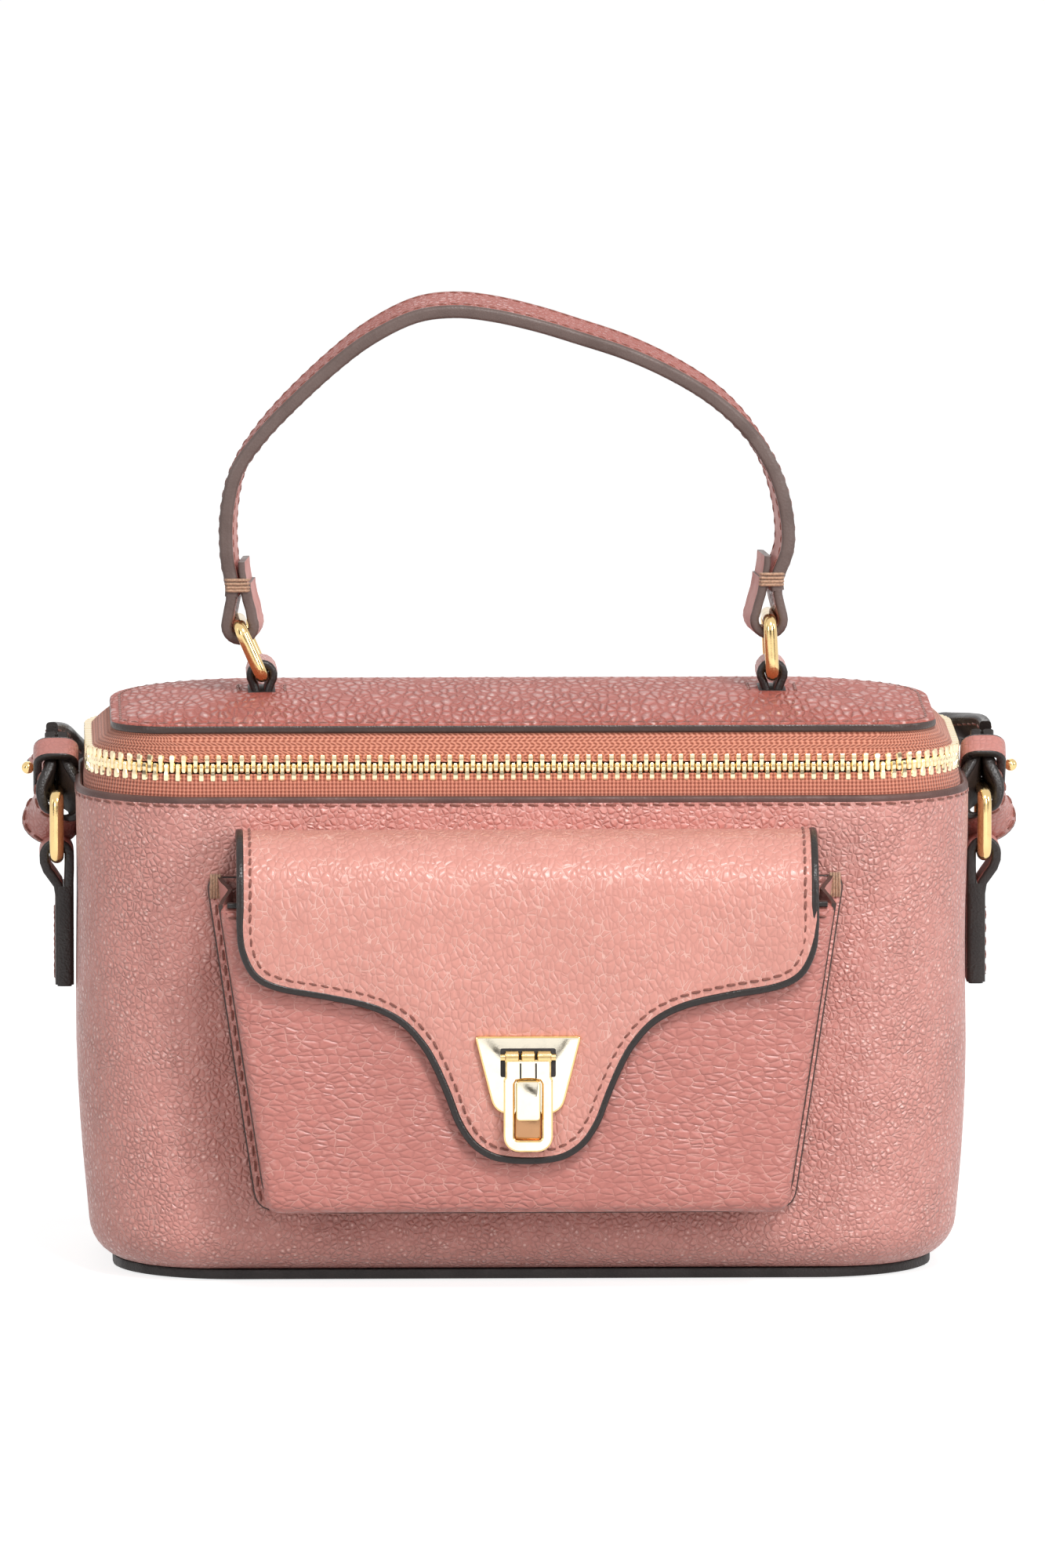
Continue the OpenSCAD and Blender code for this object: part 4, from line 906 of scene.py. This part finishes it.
rings = [gusset_ring(0, y, f) for y, f in zip(depths, fold)]
rings += [gusset_ring(GUSSET_T, y, f) for y, f in zip(depths[::-1], fold[::-1])]
rings.append(rings[0])
starts = gusset.rings(rings, [0] * 8 + [1] + [0] * 8 + [1], closed=False)
for i in (0, len(u_line) - 1):
    for j in range(8):
        gusset.face([starts[j] + i, starts[j + 1] + i, starts[16 - j] + i, starts[17 - j] + i], 1)
gusset.make("case", ("pocket_gusset",), "plain_leather")
tack = Build("pocket_bartacks", BAR_THREAD)
for s in (-1, 1):
    for k in range(4):
        x = s * (69.3 - 0.62 * k)
        tack.tube([(x, y, z) for y, z in ((-49.5, 86.3), (-50, 87), (-50.1, 90.4), (-49.6, 91.3), (-48.6, 91.3))],
                  0.32, sides=8)
tack.make("case", slot="plain_leather")

front = Build("pocket_front", POCKET_ROSE, EDGE_DARK, PLAIN, THREAD)
MIDDLE_Z = 53
outline = densify(rounded(box(57.5, 18.5, 87, top=68), (4, 4, 2, 2)), 3)
steps = [(1.2, 4.4), (0, 4.4), (0, 2.6), (0.35, 1.5), (1, 0.75), (1.7, 0.3)]
rings = [[(x, PANEL_Y + depth, z) for x, z in inset(outline, d)] for d, depth in steps]
# The upper corners are rounded by 2 mm, so the next ring is scaled and not set in further
rings.append([(x * 0.972, PANEL_Y - 0.05, MIDDLE_Z + (z - MIDDLE_Z) * 0.955) for x, y, z in rings[-1]])
for f in (0.93, 0.85, 0.75, 0.62, 0.48, 0.34, 0.2, 0.08):
    inner = [(x * f, MIDDLE_Z + (z - MIDDLE_Z) * f) for x, y, z in rings[6]]
    rings.append([(x, PANEL_Y - 0.05 - 0.5 * (1 - (x / 68) ** 2) * (1 - ((z - MIDDLE_Z) / 36) ** 2), z)
                  for x, z in inner])
front.rings(rings, [2] + [0] * 13, caps=(False, True))
front.ribbon([(x, PANEL_Y + 1.3, 87.1) for x in range(-66, 67, 6)], UP, 1.2, 2.6, (1, 1, 1), r=0.4)
front.stitches([(-66, PANEL_Y - 0.1, 84.4), (66, PANEL_Y - 0.1, 84.4)], FORWARD, 3, pitch=2.8, length=2.2, r=0.24)
front.make("case", ("pocket_front_panel",), "grained_leather", smooth=60)

# ---- flap
FLAP_RISE = 52.5
FLAP_EDGE = [(1, 56.5), (1, 52), (0.99, 46.5), (0.946, 41.2), (0.859, 38.4), (0.7, 36.6), (0.548, 34.4), (0.443, 31.1),
             (0.371, 26.3), (0.326, 21.5), (0.282, 15.1), (0.244, 8.8), (0.194, 4), (0.13, 1.2), (0.062, 0.2), (0, 0)]
edge_curve = [Vector((FLAP_HALF * p.x, TIP_Z + p.y)) for p in spline(FLAP_EDGE, 5)]
FOLD = [(-48.1, -2), (-52, -0.6), (-58, 0), (-64, -1.2), (-69, -4.65), (-72, -9), (-73, -15)]
profile = spline([(y, CREST_Z + z) for y, z in FOLD], 5)
xs = sorted({round(p.x, 3) for p in edge_curve})
xs = [x for i, x in enumerate(xs) if i == 0 or x - xs[i - 1] > 0.25]
xs[-1] = FLAP_HALF
columns = sorted({-x for x in xs} | {0} | set(xs))
FLAT_ROWS, FLAP_T = 16, 2.2


def edge_height(x):
    """Height of the flap's lower edge at x."""
    x = abs(x)
    if x >= FLAP_HALF - 0.01:
        return TIP_Z + FLAP_RISE
    pts = sorted((p.x, p.y) for p in edge_curve if p.x < FLAP_HALF - 0.001)
    for (xa, za), (xb, zb) in zip(pts, pts[1:] + [(FLAP_HALF, TIP_Z + FLAP_RISE)]):
        if xa <= x <= xb:
            return za + (zb - za) * (x - xa) / max(xb - xa, 1e-6)


def flap_grid(depth):
    """Rows of points from the root of the flap over its fold and down to its lower edge."""
    rows = []
    for i, p in enumerate(profile):
        d = heading(profile, i)
        q = p + Vector((-d.y, d.x)) * depth
        rows.append([(x, q.x, q.y) for x in columns])
    top = profile[-1].y
    for k in range(1, FLAT_ROWS + 1):
        f = k / FLAT_ROWS
        row = []
        for x in columns:
            puff = 0.25 * sin(pi * f) + 0.12 * sin(x * 0.11) if depth == 0 else 0
            row.append((x, FLAP_Y - puff + depth, top + (edge_height(x) - top) * f))
        rows.append(row)
    return rows


def loop_of(rows):
    """The border of a grid of rows, in order."""
    return rows[0] + [r[-1] for r in rows[1:-1]] + rows[-1][::-1] + [r[0] for r in rows[-2:0:-1]]


flap = Build("flap", FLAP_ROSE, EDGE_DARK, SUEDE, THREAD)
outer_rows, inner_rows = flap_grid(0), flap_grid(FLAP_T)
for rows, mat in ((outer_rows, 0), (inner_rows, 2)):
    flap.rings(rows, [mat] * (len(rows) - 1), closed=False)
outer_loop, inner_loop = loop_of(outer_rows), loop_of(inner_rows)
middle = Vector((0, FLAP_Y + FLAP_T / 2, 75))
swell = []
for share, out in ((0.18, 0.2), (0.5, 0.28), (0.82, 0.2)):
    ring = []
    for i, (a, b) in enumerate(zip(outer_loop, inner_loop)):
        a, b = Vector(a), Vector(b)
        before, after = Vector(outer_loop[i - 1]), Vector(outer_loop[(i + 1) % len(outer_loop)])
        outside = (after - before).normalized().cross((b - a).normalized()).normalized()
        if outside.dot(a - middle) < 0 and abs(outside.z) + abs(outside.x) > 0.5:
            outside = -outside
        ring.append(tuple(a.lerp(b, share) + outside * out))
    swell.append(ring)
flap.rings([outer_loop] + swell + [inner_loop], [1] * 4)
# Painted edge and seam, from the crest on one side round the tip to the crest on the other
half_line = []
for i in range(2, len(profile)):
    d = heading(profile, i)
    half_line.append((Vector((FLAP_HALF, *profile[i])), Vector((0, d.y, -d.x))))
half_line += [(Vector((p.x, FLAP_Y, p.y)), FORWARD) for p in edge_curve]
whole = half_line + [(Vector((-p.x, p.y, p.z)), u) for p, u in reversed(half_line[:-1])]
places, ups, inward = [], [], []
for i, (p, u) in enumerate(whole):
    d = whole[min(i + 1, len(whole) - 1)][0] - whole[max(i - 1, 0)][0]
    if d.length < 0.2:
        continue
    u = u if u.z > 0.01 or u.y < 0 else -u
    places.append(p)
    ups.append(u)
    inward.append(u.cross(d.normalized()).normalized())
if inward[len(inward) // 2].z < 0:
    inward = [-v for v in inward]
flap.ribbon([p + v * 0.35 - u * 1.1 for p, u, v in zip(places, ups, inward)], inward, 1.7, 2.75, (1, 1, 1), r=0.6)
flap.stitches([p + v * 2.5 + u * 0.05 for p, u, v in zip(places, ups, inward)], ups, 3, pitch=2.6, length=2.1, r=0.3)
flap_piece = flap.make(replaces=("flap_root", "pocket_flap", "flap_lining"), slot="grained_leather", smooth=55)
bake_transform(flap_piece)

# ---- lock
KNUCKLE = [1.2, 1.45, 1.45, 1.2]
PLATE_Y, HASP_Y = FLAP_Y - 1.6, -76.25
LOCK_MATS = LOCK_GOLD, NEAR_BLACK_BASE_AND_PAINTED_SHADE, GOLD, DARKER_GOLD_PAINTED_SHADE
lock = Build("lock_plate_metal", *LOCK_MATS)
shape = box(7.4, PLATE_Z - PLATE_H, PLATE_Z + 0.5, top=11.8)
shape = densify(rounded(shape[3:] + shape[:3], (0.9, 4.5, 4.5, 0.9), 6), 2)
lock.plate(shape, upright(PLATE_Y), 1.5, 0.5, (0, 2, 0))
# A near-black plate behind the knuckles, painted shade in the lock's window.
lock.plate(rounded(box(6.1, 49.6, 56), 0.5, 3), upright(PLATE_Y - 0.03), 0.5, 0.02, (1, 1, 1))
# The plate seen low in the hasp's slot, in the darker gold: painted shade.
lock.plate(rounded(box(2.9, 35.6, 42.2), 0.6, 3), upright(PLATE_Y - 0.15), 1.9, 0.2, (3, 3, 3))
lock.tube([(x, PIN_Y, PIN_Z) for x in (-1.5, -1.3, 1.3, 1.5)], KNUCKLE, 2, sides=20)
lock.make("flap", ("lock_plate", "lock_pin"), "gold", smooth=30)


def hasp_outline(side, corner_r, half_w, low):
    """One side from low to high, its mirror, then the two rounded corners at the bottom."""
    corners = [p for s, first in ((-1, 180), (1, 270))
               for p in arc(s * (half_w - corner_r), low + corner_r, corner_r, range(first, first + 91, 15))]
    return side + [(-x, z) for x, z in reversed(side)] + corners


def frame_plate(build, outside, inside, y, t, r):
    """A flat plate with a slot: matching outside and inside outlines with rounded edges."""
    small, big = inset(outside, r), inset(inside, -r)
    layers = [(small, 0), (outside, r), (outside, t - r), (small, t), (big, t), (inside, t - r), (inside, r), (big, 0),
              (small, 0)]
    build.rings([[(x, y + depth, z) for x, z in line] for line, depth in layers], [2] * 7 + [0])


hasp = Build("lock_hasp", *LOCK_MATS[:3])
outer_side = [(5.4, 48.4), (5.4, 49.2), (5, 49.7), (5, 51.5), (5, 53), (4.7, 53.6)]
inner_side = [(3.05, 40), (3.05, 43), (3.05, 46), (3.05, 48.2), (2.6, 49), (0.9, 49.3)]
outside, inside = hasp_outline(outer_side, 3.4, 5.4, 33.2), hasp_outline(inner_side, 0.8, 3.05, 35.7)
frame_plate(hasp, outside, inside, HASP_Y, 1.4, 0.35)
# Two thin near-black strips on the hasp under the gaps between the knuckles: painted shade.
for x in (-1.7, 1.7):
    hasp.plate(rounded(box(0.2, 49.5, 52.9, x), 0.1, 2), upright(HASP_Y - 0.03), 0.3, 0.02, (1, 1, 1))
for s in (-1, 1):
    hasp.tube([(s * x, PIN_Y, PIN_Z) for x in (2, 2.2, 4.9, 5.1)], KNUCKLE, 2, sides=20)
    hasp.tube([(s * x, PIN_Y, PIN_Z) for x in (5, 6.1)], 0.8, 2, sides=14)
hasp.make("lock_loop", ("lock_loop",), "gold", smooth=30)

catch = Build("lock_catch_metal", *LOCK_MATS[:3])
catch.plate(rounded(box(2.7, 40.1, 49), 0.9, 4), upright(HASP_Y - 0.2), 1, 0.3, (0, 2, 0))
catch.plate(rounded(box(2.4, 41.8, 46), 0.8, 4), upright(HASP_Y + 0.35), 5.9, 0.3, (0, 0, 0))
catch.make("case", ("lock_catch",), "gold", smooth=30)

# ---- side tabs and strap ends
TOP_BAR_Z = SIDE_Z + SIDE_GAP
TAB_IN, TAB_FOOT = 1.7, -28.9
for side, s in (("left", -1), ("right", 1)):
    tab = Build("side_tab_leather_" + side, PLAIN, EDGE_DARK, PLAIN, THREAD)
    path = [(-2.7, -9), (-2.7, -6.5), (-2.8, -3)] + arc(0, 0, 2.8, range(180, -1, -15))
    path += [(2.75, -1.4), (2.1, -3.2), (0.8, -5), (-0.3, -6.6), (-0.7, -9)]
    double = [(-TAB_IN, v) for v in (-6.8, -12, -18, -24, TAB_FOOT)]
    tip = [(-TAB_IN, TAB_FOOT), (-TAB_IN, TAB_FOOT - 0.4)]
    for line, w, t, mats, r in ((path, STRAP_W, 2.1, (0, 1, 2), 0.5), (double, STRAP_W + 0.1, 4.15, (0, 1, 2), 0.9),
                                (tip, STRAP_W - 0.9, 3.2, (1, 1, 1), 0.9)):
        tab.ribbon([(s * (SIDE_X + u), 0, SIDE_Z + v) for u, v in line], FORWARD * s, w, t, mats, r=r)
    corners = [(s * (SIDE_X + 0.36), y, SIDE_Z + v)
               for y, v in ((-4.6, -12.5), (-4.6, -27.4), (4.6, -27.4), (4.6, -12.5))]
    for a, b in zip(corners, corners[1:] + corners[:1]):
        tab.stitches([a, b], Vector((s, 0, 0)), 3, pitch=3, length=2.3, r=0.26)
    tab.make("case", ("side_tab_" + side,), "edge_leather")

    end = Build("strap_end_leather_" + side, PLAIN_STRAP, EDGE_DARK, STRAP_BACK, THREAD)
    points = [(-1.35, 8.3, 8.3, 0, 0.66, -0.75), (-1.35, 5, 5.4, 0.03 * s, 0.69, -0.72),
              (-1.9, 2.6, 2.7, 0.12 * s, 0.72, -0.68), (-3.9, 0.9, -1.2, 0.2 * s, 0.74, -0.64)]
    bend = [(x, 0.3, z, 0.26 * s, 0.74, -0.62) for x, z in arc(0, -3.2, 4.3, (200, 235, 270, 305, 340))]
    points += bend + [(-p[0], *p[1:]) for p in reversed(points)]
    ring_top = Vector((s * SIDE_X, 0, TOP_BAR_Z))
    route = [ring_top + Vector((s * p[0], p[1], p[2])) for p in spline([p[:3] for p in points], 4)]
    widths = spline([p[3:] for p in points], 4)
    end.ribbon(route, widths, STRAP_W, STRAP_T - 0.1, (0, 1, 2) if s > 0 else (2, 1, 0), r=0.8)
    middle = ring_top + Vector((0, 0.6, 0))
    frames = [(p, w, u if u.dot(p - middle) > 0 else -u) for p, w, u in frames_along(route, widths)]
    end.seams(frames, 4.7, (1.3,), pitch=3.2, length=2.4)
    end.make("side_ring_" + side, ("strap_end_" + side,), "grained_leather")

    keeper = Build("strap_keeper_band_" + side, PLAIN_STRAP, EDGE_DARK, STRAP_BACK)
    leg, across = Vector((0, 0.71, 0.7)), Vector((0, 0.7, -0.71))
    middle = ring_top + Vector((s * 0.1, 3.9, 4.7))
    loop = [middle + Vector((s * u, 0, 0)) + across * v for u, v in rounded(box(3.7, -7.3, 7.3), 2.6, 6)]
    loop = loop[3:] + loop[:4]
    keeper.ribbon(loop + loop[1:2], leg * (-s), 5.4, 1.9, (0, 1, 2), r=0.5, shift=0.4, ends=False)
    keeper.make("side_ring_" + side, ("strap_keeper_" + side,), "grained_leather")

    stud = Build("strap_stud_ball_" + side, GOLD)
    knob = [(0, 1.6), (0.35, 1.7), (0.5, 1.3), (0.62, 0.75), (0.9, 0.72)]
    knob += arc(2.1, 0, 1.4, range(150, 1, -12))
    where = middle + Vector((s * (3.7 + 0.45), -1, 0.6))
    stud.tube([where + Vector((s * u, 0, 0)) for u, r in knob], [r for u, r in knob], sides=20)
    stud.make("side_ring_" + side, ("strap_stud_" + side,), "gold", smooth=40)

for name in ("zip_slider", "zip_puller"):
    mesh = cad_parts[name].data
    mesh.materials.clear()
    mesh.materials.append(GOLD)


# ---- floor, light and world
def stage_plane(name, corners, material):
    """A plane that belongs to the scene and not to the object."""
    mesh = bpy.data.meshes.new(name)
    mesh.from_pydata(corners, [], [(0, 1, 2, 3)])
    mesh.materials.append(material)
    plane = bpy.data.objects.new(name, mesh)
    scene.collection.objects.link(plane)
    return plane


def seen_directly(tree):
    """1 for camera, glossy and transmission rays."""
    ray = node(tree, "LightPath")
    value = ray.outputs["Is Camera Ray"]
    for key in ("Is Glossy Ray", "Is Transmission Ray"):
        value = node(tree, "Math", value, ray.outputs[key], settings=[("operation", "MAXIMUM")]).outputs[0]
    return value


def bare(name, collection):
    """A new material or world and its emptied node tree."""
    block = collection.new(name)
    block.use_nodes = True
    block.node_tree.nodes.clear()
    return block, block.node_tree


WHITE = (1, 1, 1, 1)
FLOOR_Z, FLOOR_HALF = -0.0003, 4
FLOOR, tree = bare("floor", bpy.data.materials)
share = node(tree, "Math", seen_directly(tree), 0.8, settings=[("operation", "MULTIPLY")]).outputs[0]
diffuse = node(tree, "BsdfDiffuse", Color=(0.5, 0.5, 0.5, 1))
both = node(tree, "AddShader", diffuse.outputs[0], node(tree, "Emission", Strength=share).outputs[0])
node(tree, "OutputMaterial", Surface=both.outputs[0])
stage_plane("floor", [(x, y, FLOOR_Z) for x, y in box(FLOOR_HALF, -FLOOR_HALF, FLOOR_HALF)], FLOOR)

scene.world, tree = bare("world", bpy.data.worlds)
dome, shown = (node(tree, "Background", Color=WHITE, Strength=strength).outputs[0] for strength in (0.4, 1))
node(tree, "OutputWorld", Surface=node(tree, "MixShader", seen_directly(tree), dome, shown).outputs[0])


def softbox(name, place, size, power):
    """A rectangular lamp that faces the middle of the case."""
    data = bpy.data.lights.new(name, "AREA")
    data.shape, data.size, data.size_y, data.energy = "RECTANGLE", size[0], size[1], power
    lamp = bpy.data.objects.new(name, data)
    scene.collection.objects.link(lamp)
    lamp.location = place
    lamp.rotation_mode = "QUATERNION"
    lamp.rotation_quaternion = (Vector(place) - Vector((0, 0, 0.08))).to_track_quat("Z", "Y")


softbox("key", (0.3, -0.95, 1.15), (0.4, 0.3), 12)
softbox("side_left", (-0.75, -1.15, 0.42), (0.16, 0.5), 2.6)
softbox("edge_left", (-1.3, -0.3, 0.6), (0.3, 0.5), 0.5)
softbox("side_right", (0.75, -1.15, 0.5), (0.16, 0.5), 5)
softbox("edge_right", (1.3, -0.35, 0.6), (0.3, 0.5), 3)
softbox("rear", (0, 1.3, 1), (0.6, 0.15), 2.2)

# Dark cards that only reflections see, so that metal keeps dark lines
CARD = Shader("card", Base_Color=(0.03, 0.022, 0.016, 1), Roughness=0.9).mat
CARDS = (("card_left", -1.05, -0.75, 0.4, 0.75), ("card_right", 1.1, -0.75, 0.4, 0.75),
         ("card_front", 0, -1.6, 0.7, 0.22))
for name, x, y, width, high in CARDS:
    across = Vector((-y, x, 0)).normalized() * width / 2
    card = stage_plane(name, [(x + across.x * u, y + across.y * u, z) for u, z in box(1, 0, high)], CARD)
    card.visible_camera = card.visible_diffuse = card.visible_shadow = card.visible_transmission = False
